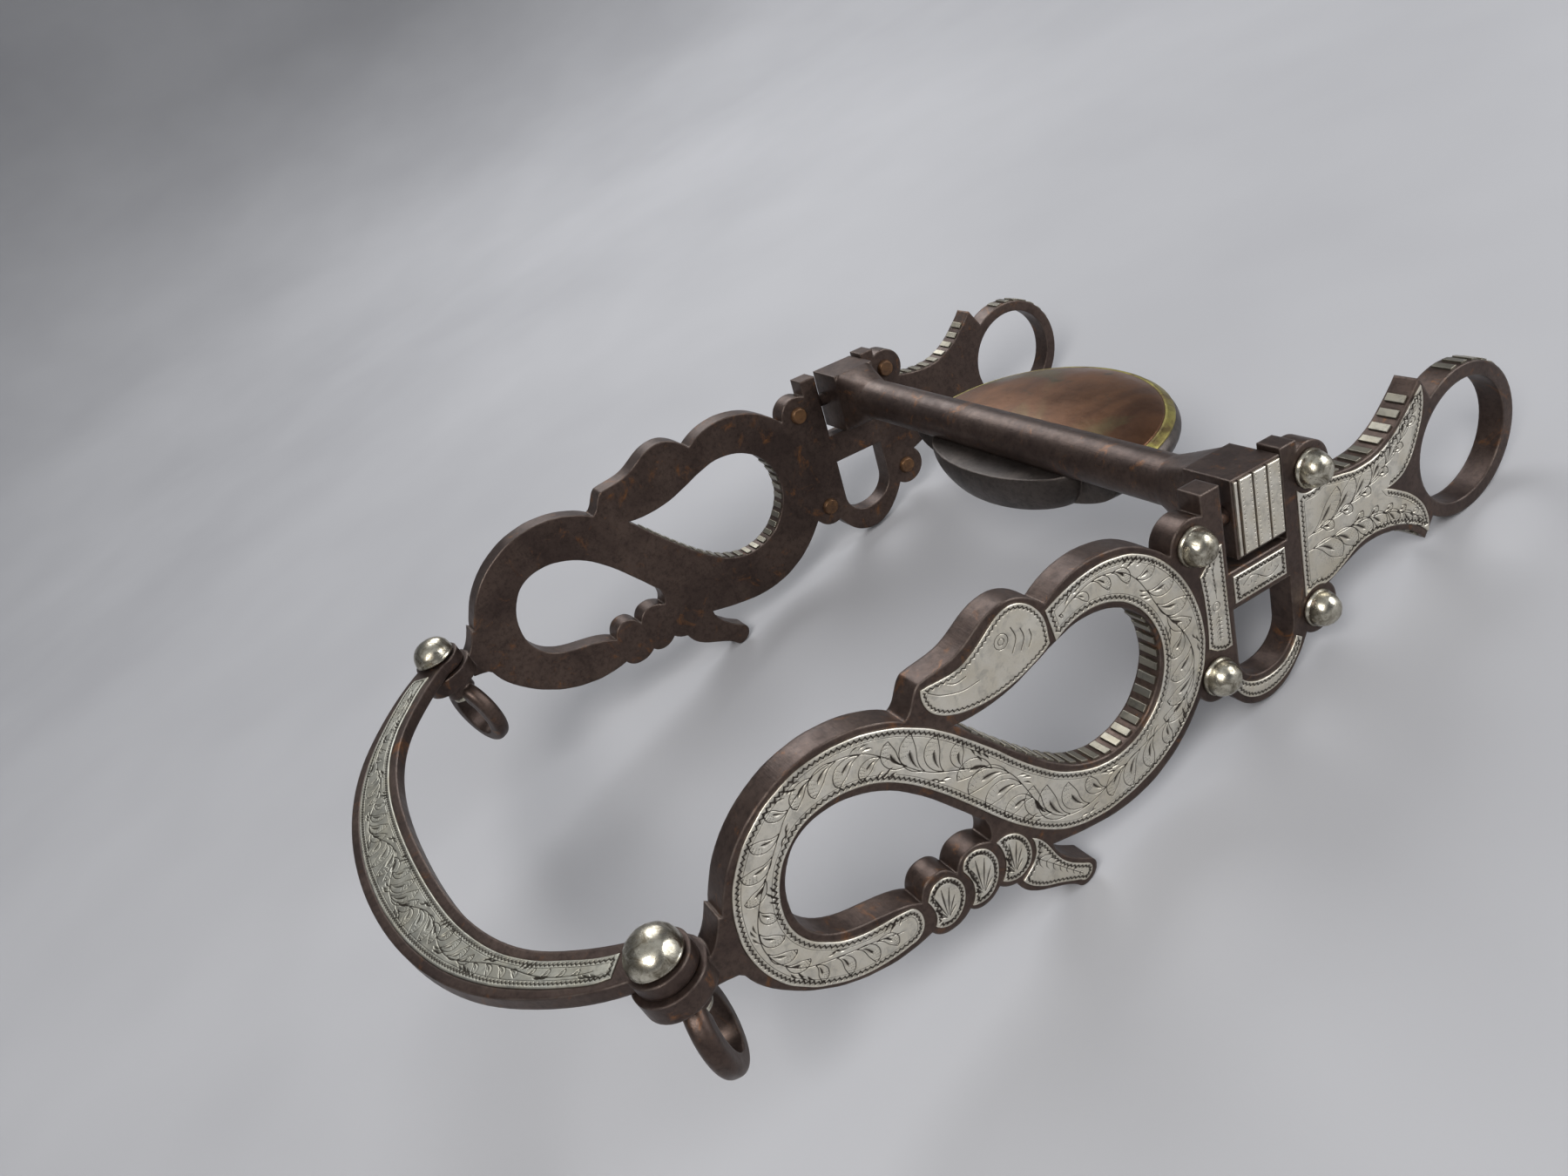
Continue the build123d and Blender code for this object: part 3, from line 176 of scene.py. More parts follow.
def steel(name, base, light, rust, rust_amount=0.62, bevel=0.0007):
    m = Mat(name)
    cloud = m.noise(70, 5, 0.6, 0.6)
    fine = m.noise(900, 4, 0.7)
    c = m.mix(m.ramp(cloud, [(0.35, 0.0), (0.68, 1.0)]), base, light)
    c = m.mix(m.ramp(m.noise(160, 8, 0.7, 1.2), [(rust_amount, 0.0), (rust_amount + 0.12, 0.85)]), c, rust)
    c = m.mix(m.ramp(fine, [(0.30, 0.55), (0.55, 0.0)]), c, tuple(0.35 * x for x in base))
    worn = m.math("MULTIPLY", m.edge(0.0006), m.ramp(m.noise(240, 4, 0.6), [(0.38, 0.15), (0.62, 1.0)]))
    c = m.mix(m.math("MULTIPLY", worn, 0.55), c, (0.22, 0.18, 0.155))
    r = m.ramp(m.noise(220, 6, 0.65), [(0.3, 0.34), (0.7, 0.52)])
    return m.finish(
        c, r,
        [(m.noise(55, 3, 0.5), 0.12, 0.0012), (m.noise(600, 5, 0.65), 0.16, 0.00025), (m.noise(260, 2, 0.5, 0, (1, 14, 14)), 0.08, 0.0002)],
        bevel=bevel, metallic=0.72,
    )


def silver(name, tone, dark, tarnish=0.5, rough=(0.26, 0.46), groove=True, bevel=0.0002, metallic=0.93):
    m = Mat(name)
    c = m.mix(m.ramp(m.noise(120, 6, 0.6, 0.8), [(0.32, 0.0), (0.72, 1.0)]), tone, tuple(x * y for x, y in zip(tone, (0.84, 0.80, 0.72))))
    c = m.mix(m.ramp(m.noise(420, 8, 0.7, 0.5), [(tarnish, 0.0), (tarnish + 0.16, 0.55)]), c, tuple(0.45 * x for x in tone))
    scratch = m.noise(300, 3, 0.6, 0, (1.0, 22.0, 9.0))
    c = m.mix(m.ramp(scratch, [(0.30, 0.22), (0.46, 0.0)]), c, tuple(0.55 * x for x in tone))
    r = m.ramp(m.noise(180, 5, 0.6), [(0.3, rough[0]), (0.7, rough[1])])
    if groove:
        a = m.node("ShaderNodeAttribute", attribute_name="cut")
        g = m.ramp(a.outputs["Fac"], [(0.12, 0.0), (0.85, 1.0)])
        c = m.mix(g, c, dark)
        r = m.mix(g, r, 0.62)
    return m.finish(
        c, r,
        [(scratch, 0.05, 0.0001), (m.noise(900, 4, 0.6), 0.06, 0.0001), (m.noise(90, 2, 0.5), 0.06, 0.0010)],
        bevel=bevel, metallic=metallic,
    )


STEEL = steel("patinated_steel", (0.046, 0.030, 0.025), (0.088, 0.060, 0.048), (0.19, 0.080, 0.028), 0.575)
STEEL_DARK = steel("dark_steel", (0.040, 0.033, 0.030), (0.085, 0.070, 0.062), (0.12, 0.065, 0.035), 0.66)
SILVER = silver("engraved_silver", (0.72, 0.69, 0.615), (0.040, 0.032, 0.027))
STRIPS = silver("inlay_strips", (0.27, 0.255, 0.215), (0.06, 0.05, 0.04), 0.5, (0.28, 0.48), groove=False)
BOW_SILVER = silver("bow_silver", (0.44, 0.435, 0.385), (0.040, 0.035, 0.028), 0.46, (0.34, 0.54))


def dome_silver():
    m = Mat("dome_silver")
    blotch = m.noise(330, 8, 0.72, 1.4)
    c = m.mix(m.ramp(blotch, [(0.40, 0.0), (0.62, 1.0)]), (0.56, 0.53, 0.44), (0.15, 0.13, 0.095))
    c = m.mix(m.ramp(m.noise(1100, 5, 0.7), [(0.60, 0.0), (0.72, 0.8)]), c, (0.06, 0.05, 0.04))
    return m.finish(c, m.ramp(blotch, [(0.35, 0.16), (0.65, 0.42)]),
                    [(m.noise(260, 5, 0.6), 0.14, 0.0006), (m.noise(1400, 3, 0.6), 0.10, 0.0001)], metallic=1.0)


def copper():
    m = Mat("aged_copper")
    cloud = m.noise(38, 6, 0.62, 1.0)
    c = m.mix(m.ramp(cloud, [(0.33, 0.0), (0.68, 1.0)]), (0.085, 0.042, 0.025), (0.185, 0.088, 0.042))
    c = m.mix(m.ramp(m.noise(90, 8, 0.7, 1.6), [(0.56, 0.0), (0.70, 0.85)]), c, (0.055, 0.045, 0.028))
    c = m.mix(m.ramp(m.noise(27, 4, 0.6, 0.8), [(0.60, 0.0), (0.72, 0.6)]), c, (0.12, 0.125, 0.060))
    c = m.mix(m.ramp(m.noise(700, 5, 0.7), [(0.62, 0.0), (0.74, 0.6)]), c, (0.03, 0.02, 0.015))
    return m.finish(c, m.ramp(m.noise(120, 5, 0.6), [(0.3, 0.28), (0.7, 0.46)]),
                    [(m.noise(60, 3, 0.5), 0.18, 0.0015), (m.noise(500, 5, 0.6), 0.15, 0.0002)], bevel=0.0004, metallic=0.85)


def brass():
    m = Mat("brazed_seam")
    c = m.mix(m.ramp(m.noise(150, 7, 0.7, 1.4), [(0.36, 0.0), (0.66, 1.0)]), (0.30, 0.27, 0.075), (0.12, 0.085, 0.035))
    return m.finish(c, m.ramp(m.noise(200, 4, 0.6), [(0.3, 0.34), (0.7, 0.55)]),
                    [(m.noise(220, 5, 0.6, 1.0), 0.35, 0.0006)], bevel=0.0004, metallic=0.8)


def rivet_copper():
    m = Mat("rivet_copper")
    c = m.mix(m.ramp(m.noise(300, 7, 0.7, 1.0), [(0.36, 0.0), (0.64, 1.0)]), (0.20, 0.105, 0.050), (0.075, 0.045, 0.030))
    return m.finish(c, m.ramp(m.noise(300, 4, 0.6), [(0.3, 0.34), (0.7, 0.5)]),
                    [(m.noise(420, 5, 0.6, 0.6), 0.35, 0.0004)], bevel=0.0005, metallic=0.8)


DOME, COPPER, BRASS, RIVET = dome_silver(), copper(), brass(), rivet_copper()


# ---------------------------------------------------------------------------
# outlines of an inlay, read from the frame
# ---------------------------------------------------------------------------
def flat_of(node, base):
    """Top face of a node: its (u, v) triangles' boundary loops in mm and its height."""
    O, U, V, N = base
    me = NODES[node].data
    me.calc_loop_triangles()
    co = np.array([v.co[:] for v in me.vertices]) * 1000 - O
    h = co @ N
    top = h.max()
    uv = np.column_stack([co @ U, co @ V])
    key = {}
    ids = np.empty(len(uv), int)
    pts = []
    for i, (a, b) in enumerate(np.round(uv, 3)):
        k = (a, b)
        if k not in key:
            key[k] = len(pts)
            pts.append(uv[i])
        ids[i] = key[k]
    pts = np.array(pts)
    count = {}
    for t in me.loop_triangles:
        vs = list(t.vertices)
        if all(abs(h[v] - top) < 0.01 for v in vs):
            q = [ids[v] for v in vs]
            if len(set(q)) < 3:
                continue
            for a, b in ((q[0], q[1]), (q[1], q[2]), (q[2], q[0])):
                count[(a, b)] = count.get((a, b), 0) + 1
    nxt = {}
    for (a, b), n in count.items():
        if (b, a) not in count:
            nxt.setdefault(a, []).append(b)
    loops = []
    while nxt:
        a = next(iter(nxt))
        loop = [a]
        while True:
            b = nxt[loop[-1]].pop()
            if not nxt[loop[-1]]:
                del nxt[loop[-1]]
            if b == a:
                break
            loop.append(b)
            if b not in nxt:
                break
        if len(loop) > 2:
            loops.append(pts[loop])
    return loops, top, h.min()


def resample(loop, step, closed=True):
    p = np.vstack([loop, loop[:1]]) if closed else np.asarray(loop, float)
    d = np.r_[0, np.cumsum(np.linalg.norm(np.diff(p, axis=0), axis=1))]
    n = max(4, int(round(d[-1] / step)))
    t = np.linspace(0, d[-1], n + 1)
    q = np.column_stack([np.interp(t, d, p[:, 0]), np.interp(t, d, p[:, 1])])
    return q[:-1] if closed else q


def inside(pts, loops):
    """Even-odd test."""
    pts = np.atleast_2d(pts)
    c = np.zeros(len(pts), bool)
    for L in loops:
        a, b = L, np.roll(L, -1, 0)
        for (x0, y0), (x1, y1) in zip(a, b):
            if y0 == y1:
                continue
            m = (y0 > pts[:, 1]) != (y1 > pts[:, 1])
            c ^= m & (pts[:, 0] < (x1 - x0) * (pts[:, 1] - y0) / (y1 - y0) + x0)
    return c


def seg_dist(pts, a, b, reach=3.0):
    """Distance from each point to the nearest of the segments a-b, where that is under reach."""
    out = np.full(len(pts), reach)
    d = b - a
    L = np.maximum((d ** 2).sum(1), 1e-12)
    lo_s, hi_s = np.minimum(a, b) - reach, np.maximum(a, b) + reach
    cell = np.floor(pts / 4.0).astype(int)
    order = np.lexsort((cell[:, 1], cell[:, 0]))
    for idx in np.split(order, np.flatnonzero(np.any(np.diff(cell[order], axis=0), axis=1)) + 1):
        a0, a1 = pts[idx].min(0), pts[idx].max(0)
        m = (lo_s[:, 0] <= a1[0]) & (hi_s[:, 0] >= a0[0]) & (lo_s[:, 1] <= a1[1]) & (hi_s[:, 1] >= a0[1])
        if not m.any():
            continue
        p = pts[idx][:, None, :]
        t = np.clip(((p - a[m]) * d[m]).sum(2) / L[m], 0, 1)
        q = a[m] + t[..., None] * d[m] - p
        out[idx] = np.minimum(reach, np.sqrt((q ** 2).sum(2)).min(1))
    return out


def inset(loop, loops, dist, step):
    q = resample(loop, step)
    t = np.roll(q, -2, 0) - np.roll(q, 2, 0)
    t /= np.maximum(np.linalg.norm(t, axis=1)[:, None], 1e-9)
    n = np.column_stack([-t[:, 1], t[:, 0]])
    # towards the metal
    k = inside(q + n * 0.05, loops).mean() > 0.5
    q2 = q + (n if k else -n) * dist
    A = np.vstack([L for L in loops])
    B = np.vstack([np.roll(L, -1, 0) for L in loops])
    ok = (seg_dist(q2, A, B) > dist - 0.06) & inside(q2, loops)
    # split into runs
    runs, cur = [], []
    for i in range(len(q2)):
        if ok[i]:
            cur.append(q2[i])
        elif cur:
            runs.append(cur)
            cur = []
    if cur:
        if runs and ok[0]:
            runs[0] = cur + runs[0]
        else:
            runs.append(cur)
    runs = [np.array(r) for r in runs if len(r) > 3]
    if len(runs) == 1 and ok.all():
        runs = [np.vstack([runs[0], runs[0][:1]])]
    elif len(runs) > 1:
        joined = [runs[0]]
        for r in runs[1:]:
            if np.linalg.norm(r[0] - joined[-1][-1]) < 1.2:
                joined[-1] = np.vstack([joined[-1], r])
            else:
                joined.append(r)
        runs = joined
    return runs


class Plate:
    """A flat inlay whose face is cut with real V grooves."""

    def __init__(self, node, base, material, loops=None):
        self.node, self.base, self.material = node, base, material
        found, self.top, self.bottom = flat_of(node, base)
        self.loops = loops or found
        self.cuts = []   # (points, half widths)
        self.A = np.vstack(self.loops)
        self.B = np.vstack([np.roll(L, -1, 0) for L in self.loops])

    def cut(self, pts, half, clip=True):
        p = np.asarray(pts, float)
        h = np.full(len(p), half) if np.isscalar(half) else np.asarray(half, float)
        if clip:
            ok = inside(p, self.loops)
            p, h = p[ok], h[ok]
        if len(p) > 1:
            self.cuts.append((p, np.maximum(h, 0.03)))

    def dot(self, p, r=0.13):
        self.cut([np.array(p) + (-0.02, 0), np.array(p) + (0.02, 0)], r)

    def border(self, line=0.0, zig=0.74, amp=0.34, pitch=1.0, inner=1.34):
        for L in self.loops:
            if line:
                for r in inset(L, self.loops, line, 0.8):
                    self.cut(r, 0.055)
            if zig:
                for r in inset(L, self.loops, zig, pitch / 2):
                    t = np.gradient(r, axis=0)
                    t /= np.maximum(np.linalg.norm(t, axis=1)[:, None], 1e-9)
                    n = np.column_stack([-t[:, 1], t[:, 0]])
                    s = np.where(np.arange(len(r)) % 2, 1, -1)[:, None]
                    self.cut(r + n * s * amp, 0.19)
            if inner:
                for r in inset(L, self.loops, inner, 0.8):
                    self.cut(r, 0.085)

    def build(self, name, body, slot, mirror_body=None, mirror_name=None, mirror_node=None):
        depth_k, edge_w, edge_d = 0.55, 0.16, 0.10
        verts, edges = [], []

        def add(points, closed):
            i0 = len(verts)
            verts.extend(points)
            n = len(points)
            for i in range(n if closed else n - 1):
                edges.append((i0 + i, i0 + (i + 1) % n))

        for L in self.loops:
            add([tuple(p) for p in L], True)
        for L in self.loops:
            for r in inset(L, self.loops, edge_w, 0.7):
                add([tuple(p) for p in r[:-1]] if np.allclose(r[0], r[-1]) else [tuple(p) for p in r], False)
        segs_a, segs_b, ha, hb = [], [], [], []
        for p, h in self.cuts:
            t = np.gradient(p, axis=0)
            t /= np.maximum(np.linalg.norm(t, axis=1)[:, None], 1e-9)
            n = np.column_stack([-t[:, 1], t[:, 0]])
            add([tuple(q) for q in p], False)
            left = p + n * h[:, None]
            right = p - n * h[:, None]
            ring = np.vstack([left, p[-1:] + t[-1:] * h[-1], right[::-1], p[:1] - t[:1] * h[0]])
            add([tuple(q) for q in ring], True)
            segs_a.append(p[:-1]); segs_b.append(p[1:]); ha.append(h[:-1]); hb.append(h[1:])
        t0 = time.time()
        out = delaunay_2d_cdt([Vector(v) for v in verts], edges, [], 0, 1e-4)
        print("cdt", len(verts), round(time.time() - t0, 1))
        V = np.array([v[:] for v in out[0]])
        F = np.array([f for f in out[2] if len(f) == 3])
        cen = V[F].mean(1)
        F = F[inside(cen, self.loops)]
        used = np.unique(F)
        remap = -np.ones(len(V), int); remap[used] = np.arange(len(used))
        V, F = V[used], remap[F]
        a = V[F]
        area = np.cross(a[:, 1] - a[:, 0], a[:, 2] - a[:, 0])
        F[area < 0] = F[area < 0][:, ::-1]
        edge = seg_dist(V, self.A, self.B)
        drop = np.clip(1 - edge / edge_w, 0, 1) * edge_d
        cutv = np.zeros(len(V))
        if segs_a:
            SA, SB = np.vstack(segs_a), np.vstack(segs_b)
            HA, HB = np.concatenate(ha), np.concatenate(hb)
            D = SB - SA
            LL = np.maximum((D ** 2).sum(1), 1e-9)
            lo_s, hi_s = np.minimum(SA, SB) - 0.45, np.maximum(SA, SB) + 0.45
            cell = np.floor(V / 3.0).astype(int)
            order = np.lexsort((cell[:, 1], cell[:, 0]))
            cuts_at = np.flatnonzero(np.any(np.diff(cell[order], axis=0), axis=1)) + 1
            for idx in np.split(order, cuts_at):
                a0, a1 = V[idx].min(0), V[idx].max(0)
                m = (lo_s[:, 0] <= a1[0]) & (hi_s[:, 0] >= a0[0]) & (lo_s[:, 1] <= a1[1]) & (hi_s[:, 1] >= a0[1])
                if not m.any():
                    continue
                p = V[idx][:, None, :]
                t = np.clip(((p - SA[m]) * D[m]).sum(2) / LL[m], 0, 1)
                q = SA[m] + t[..., None] * D[m] - p
                dist = np.sqrt((q ** 2).sum(2))
                h = HA[m] + (HB[m] - HA[m]) * t
                near = np.clip(1 - dist / h, 0, 1)
                cutv[idx] = (near * np.minimum(h, 0.28)).max(1)
            drop = np.maximum(drop, np.where(edge > 0.02, cutv * depth_k * 1.6, 0))
        shade = np.clip(cutv / 0.095, 0, 1)
        # walls and floor
        n = len(V)
        O, U, W, N = self.base
        P = O + V[:, :1] * U + V[:, 1:] * W + (self.top - drop)[:, None] * N
        key = {tuple(np.round(v, 3)): i for i, v in enumerate(V)}
        faces = [tuple(f) for f in F]
        ecount = {}
        for f in faces:
            for x, y in ((f[0], f[1]), (f[1], f[2]), (f[2], f[0])):
                ecount[(x, y)] = ecount.get((x, y), 0) + 1
        rim = [(x, y) for (x, y) in ecount if (y, x) not in ecount]
        rim_v = sorted({x for e in rim for x in e})
        low = {v: n + k for k, v in enumerate(rim_v)}
        PL = O + V[rim_v][:, :1] * U + V[rim_v][:, 1:] * W + self.bottom * N
        for x, y in rim:
            faces.append((y, x, low[x], low[y]))
        vb = [Vector(V[v]) for v in rim_v]
        ix = {v: k for k, v in enumerate(rim_v)}
        ob = delaunay_2d_cdt(vb, [(ix[x], ix[y]) for x, y in rim], [], 0, 1e-5)
        VB = np.array([v[:] for v in ob[0]])
        if len(VB) == len(vb):
            FB = np.array([f for f in ob[2] if len(f) == 3])
            FB = FB[inside(VB[FB].mean(1), self.loops)]
            back = {}
            for k, orig in enumerate(ob[3]):
                for o in orig:
                    back[k] = o
            for f in FB:
                q = [VB[i] for i in f]
                ar = (q[1][0] - q[0][0]) * (q[2][1] - q[0][1]) - (q[1][1] - q[0][1]) * (q[2][0] - q[0][0])
                g = tuple(n + back[i] for i in f)
                faces.append(g[::-1] if ar > 0 else g)
        P = np.vstack([P, PL]) / 1000
        shade = np.r_[shade, np.zeros(len(PL))]
        made = []
        for nm, nd, bd, flip in ((name, self.node, body, False), (mirror_name, mirror_node, mirror_body, True)):
            if nm is None:
                continue
            Q = P * ((-1, 1, 1) if flip else (1, 1, 1))
            me = bpy.data.meshes.new(nm)
            me.from_pydata([tuple(v) for v in Q], [], [f[::-1] for f in faces] if flip else faces)
            at = me.attributes.new("cut", "FLOAT", "POINT")
            at.data.foreach_set("value", shade.astype(np.float32))
            me.validate()
            me.materials.append(self.material)
            ob_ = bpy.data.objects.new(nm, me)
            bpy.context.scene.collection.objects.link(ob_)
            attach(ob_, bd)
            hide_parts(nd)
            made.append(ob_)
        print(nm, len(P), "verts", len(faces), "faces", round(time.time() - t0, 1), "s")
        return made


# ---------------------------------------------------------------------------
# engraving motifs
# ---------------------------------------------------------------------------
def lobe(pl, base, ang, length, width, curl, stipple=True):
    """A comma-shaped leaf: outline, a dark crescent cut and a stippled head."""
    n = 13
    t = np.linspace(0, 1, n)
    a = ang + curl * t
    step = length / (n - 1)
    c = np.vstack([[0, 0], np.cumsum(np.column_stack([np.cos(a[:-1]), np.sin(a[:-1])]) * step, axis=0)]) + base
    nrm = np.column_stack([-np.sin(a), np.cos(a)])
    prof = width * 0.5 * np.sin(math.pi * t ** 1.45) ** 0.75
    prof[0] = prof[-1] = 0.0
    left, right = c + nrm * prof[:, None], c - nrm * prof[:, None]
    pl.cut(np.vstack([left, right[::-1]]), 0.135)
    side = -1 if curl > 0 else 1
    core = c + nrm * (-side * prof * 0.28)[:, None]
    pl.cut(core[2:9], np.array([0.08, 0.20, 0.34, 0.46, 0.52, 0.38, 0.10]) * min(1.2, width / 2.8))
    if stipple and width > 1.5:
        for i in (7, 8, 9, 10, 11):
            for v in np.arange(0.05, 0.80, 0.24 if width > 2.2 else 0.36):
                pl.dot(c[i] + nrm[i] * side * v * prof[i] + RNG.normal(0, 0.03, 2), 0.12)
            if i > 9:
                for v in (-0.3, -0.62):
                    pl.dot(c[i] + nrm[i] * side * v * prof[i], 0.105)


def dash(pl, p, ang, length, half=0.16):
    t = np.linspace(0, 1, 5)
    c = np.array(p) + np.column_stack([np.cos(ang + 0.35 * t), np.sin(ang + 0.35 * t)]) * (t * length)[:, None]
    pl.cut(c, half * np.array([0.3, 0.9, 1.0, 0.6, 0.2]))


def spline(points, step=0.6):
    p = np.array(points, float)
    e = np.vstack([2 * p[0] - p[1], p, 2 * p[-1] - p[-2]])
    out = []
    for i in range(1, len(e) - 2):
        for t in np.linspace(0, 1, 12, endpoint=False):
            a, b, c, d = e[i - 1], e[i], e[i + 1], e[i + 2]
            out.append(0.5 * ((2 * b) + (c - a) * t + (2 * a - 5 * b + 4 * c - d) * t * t + (3 * b - a - 3 * c + d) * t ** 3))
    out.append(p[-1])
    return resample(np.array(out), step, closed=False)


def centred(pl, path, reach=9.0):
    """The path moved to the middle of the metal, with its half width."""
    q = spline(path, 1.0)
    for _ in range(2):
        t = np.gradient(q, axis=0)
        t /= np.linalg.norm(t, axis=1)[:, None]
        n = np.column_stack([-t[:, 1], t[:, 0]])
        r = np.arange(0.2, reach, 0.2)
        d = []
        for sgn in (1, -1):
            g = q[:, None, :] + sgn * r[None, :, None] * n[:, None, :]
            ins = inside(g.reshape(-1, 2), pl.loops).reshape(len(q), len(r))
            first = np.where(ins.all(1), len(r), (~ins).argmax(1))
            d.append(first * 0.2)
        off = (d[0] - d[1]) / 2 if isinstance(d[0], np.ndarray) else 0
        k = np.ones(5) / 5
        off = np.convolve(np.pad(off, 2, mode="edge"), k, "valid")
        q = q + n * off[:, None]
    h = (d[0] + d[1]) / 2
    h = np.convolve(np.pad(h, 3, mode="edge"), np.ones(7) / 7, "valid")
    return q, h


def vine(pl, path, margin=1.5, pitch=8.0, flip=1, ends=1.5, hmax=6.0, centre=True):
    q, h = centred(pl, path) if centre else (spline(path, 1.0), np.full(len(spline(path, 1.0)), hmax))
    L = np.r_[0, np.cumsum(np.linalg.norm(np.diff(q, axis=0), axis=1))]
    total = L[-1] - 2 * ends
    n = max(1, int(round(total / pitch)))
    pitch = total / n

    def at(u, v):
        u = np.clip(u, 0, L[-1])
        p = np.array([np.interp(u, L, q[:, 0]), np.interp(u, L, q[:, 1])])
        e = 0.6
        d = np.array([np.interp(u + e, L, q[:, 0]) - np.interp(u - e, L, q[:, 0]), np.interp(u + e, L, q[:, 1]) - np.interp(u - e, L, q[:, 1])])
        d /= np.linalg.norm(d)
        return p + v * np.array([-d[1], d[0]]), math.atan2(d[1], d[0])

    room = lambda u: max(0.5, min(hmax, np.interp(u, L, h)) - margin)
    us = np.arange(ends, L[-1] - ends + 0.01, 0.6)
    stem_v = lambda u: 0.74 * room(u) * flip * math.sin(math.pi * (u - ends) / pitch)
    pl.cut(np.array([at(u, stem_v(u))[0] for u in us]), 0.14)
    for k in range(n):
        u0, S = ends + k * pitch, flip * (1 if k % 2 == 0 else -1)
        for f, ln, da in ((0.00, 0.66, 1.10), (0.22, 0.88, 1.05), (0.45, 1.0, 0.98), (0.68, 0.86, 0.85)):
            u = u0 + f * pitch
            R = room(u)
            p, a = at(u, stem_v(u) - S * 0.15)
            sc = min(1.25, R / 3.4)
            lobe(pl, p, a - S * (da - 1.0), 9.4 * sc * ln, 3.5 * sc * ln ** 0.5, -S * 1.75)
        for f, dv, da in ((0.10, 0.62, 0.2), (0.14, 0.92, 0.0), (0.22, 0.96, -0.1), (0.78, 0.96, 0.5), (0.84, 0.70, 0.6), (0.88, 0.94, 0.6), (0.95, 0.86, 0.7)):
            p, a = at(u0 + f * pitch, S * dv * room(u0 + f * pitch))
            dash(pl, p, a + S * da, 1.9, 0.27)


def row(pl, stem, side, count, first, last, width, start=0.04, end=0.92, lean=0.05, half=0.14):
    """A stem with a row of leaves on one side."""
    q = spline(stem, 0.6)
    L = np.r_[0, np.cumsum(np.linalg.norm(np.diff(q, axis=0), axis=1))]
    if half:
        pl.cut(q, half)
    for k in range(count):
        g = k / max(1, count - 1)
        u = L[-1] * (start + (end - start) * g)
        p = np.array([np.interp(u, L, q[:, 0]), np.interp(u, L, q[:, 1])])
        e = np.array([np.interp(u + 0.5, L, q[:, 0]), np.interp(u + 0.5, L, q[:, 1])]) - np.array([np.interp(u - 0.5, L, q[:, 0]), np.interp(u - 0.5, L, q[:, 1])])
        ln = first + (last - first) * g
        lobe(pl, p, math.atan2(e[1], e[0]) + side * lean, ln, width * (ln / first) ** 0.6, side * 1.2)


def arc(c, r, a0=0.0, a1=2 * math.pi, n=14):
    t = np.linspace(a0, a1, n)
    return np.column_stack([c[0] + r * np.cos(t), c[1] + r * np.sin(t)])


def pair(node_tail, base=CHEEK, material=SILVER):
    return Plate("near_" + node_tail, base, material)


def place(pl, tail, slot="silver"):
    pl.build("near_" + tail + "_engraved", "near_shank", slot, "off_shank", "off_" + tail + "_engraved", "off_" + tail + "_silver")


# snake body
snake = pair("snake_silver")
snake.border()
vine(snake, [(-38.5, 10.5), (-33, 12.5), (-24, 12.6), (-16.7, 7.5), (-12.5, 0), (-12.5, -8.3), (-16.7, -16.7), (-23.3, -23.3),
             (-33.3, -26.7), (-41.7, -25), (-50, -16.7), (-58.3, -8.3), (-66.7, 0), (-75, 5.8), (-83.3, 6.7), (-91.7, 4.2),
             (-97.5, -2.5), (-99.2, -11.7), (-95.8, -20), (-90, -25.8), (-81.7, -29.2), (-74.5, -29.5)], pitch=16.5, ends=2.0)
place(snake, "snake")

# head
head = pair("head_silver")
head.border(zig=0.66, amp=0.25, inner=0)
head.cut(arc((-47.8, 11.3), 1.35), 0.12)
head.cut(arc((-47.8, 11.3), 0.6), 0.12)
for p, m, q in (((-45.6, 12.8), (-45.0, 10.6), (-46.2, 8.3)), ((-43.9, 11.8), (-43.5, 9.9), (-44.5, 8.0)), ((-42.3, 10.8), (-42.1, 9.3), (-43.0, 7.8))):
    head.cut(spline([p, m, q]), 0.16)
head.cut(spline([(-58.7, 9.4), (-57.2, 8.7), (-55.2, 8.9)], 0.4), 0.16)
head.cut(spline([(-62.3, 9.6), (-60.1, 8.1), (-56.4, 6.9), (-53.0, 7.0)], 0.5), 0.13)
place(head, "head")

# rattles: fans
rattle = pair("rattle_silver")
rattle.border(zig=0.60, amp=0.28, pitch=0.92, inner=0.98)
for L in rattle.loops:
    lo, hi = L.min(0), L.max(0)
    c = (lo + hi) / 2
    base = np.array([c[0] - 0.6, lo[1] + 1.6])
    hh = (hi[1] - lo[1]) - 3.4
    for a, f in ((40, 0.45), (58, 0.72), (75, 0.95), (92, 1.0), (110, 0.92), (128, 0.68), (146, 0.42)):
        t = np.linspace(0.12, 1, 7)
        r = math.radians(a)
        b = math.radians((a - 90) * 0.5)
        p = base + np.column_stack([np.cos(r - 0.25 * t * b), np.sin(r)* np.ones(7)]) * (t * hh * f)[:, None]
        rattle.cut(p, 0.27 * np.array([0.35, 0.6, 0.8, 1.0, 1.0, 0.8, 0.4]))
    for a in np.linspace(0, math.pi, 7):
        rattle.dot(base + 0.55 * np.array([math.cos(a), math.sin(a)]), 0.10)
place(rattle, "rattle")

# button: leaf
button = pair("button_silver")
button.border(zig=0.60, amp=0.28, pitch=0.92, inner=0)
L = button.loops[0]
c = L.mean(0)
d = np.linalg.svd(L - c)[2][0]
d = d * np.sign(d[0])
n_ = np.array([-d[1], d[0]])
ext = ((L - c) @ d)
a0, a1 = ext.min() + 1.7, ext.max() - 1.9
mid = np.array([c + d * t for t in np.linspace(a0, a1, 12)])
button.cut(mid, 0.11)
for i, t in enumerate(np.linspace(a0 + 0.3, a1 - 1.0, 8)):
    f = 1.7 * (1 - i / 9.5)
    for sgn in (1, -1):
        p = c + d * t
        button.cut(np.array([p, p + d * 0.5 * f + n_ * sgn * 0.6 * f, p + d * 1.25 * f + n_ * sgn * 0.85 * f]), np.array([0.13, 0.15, 0.05]))
place(button, "button")

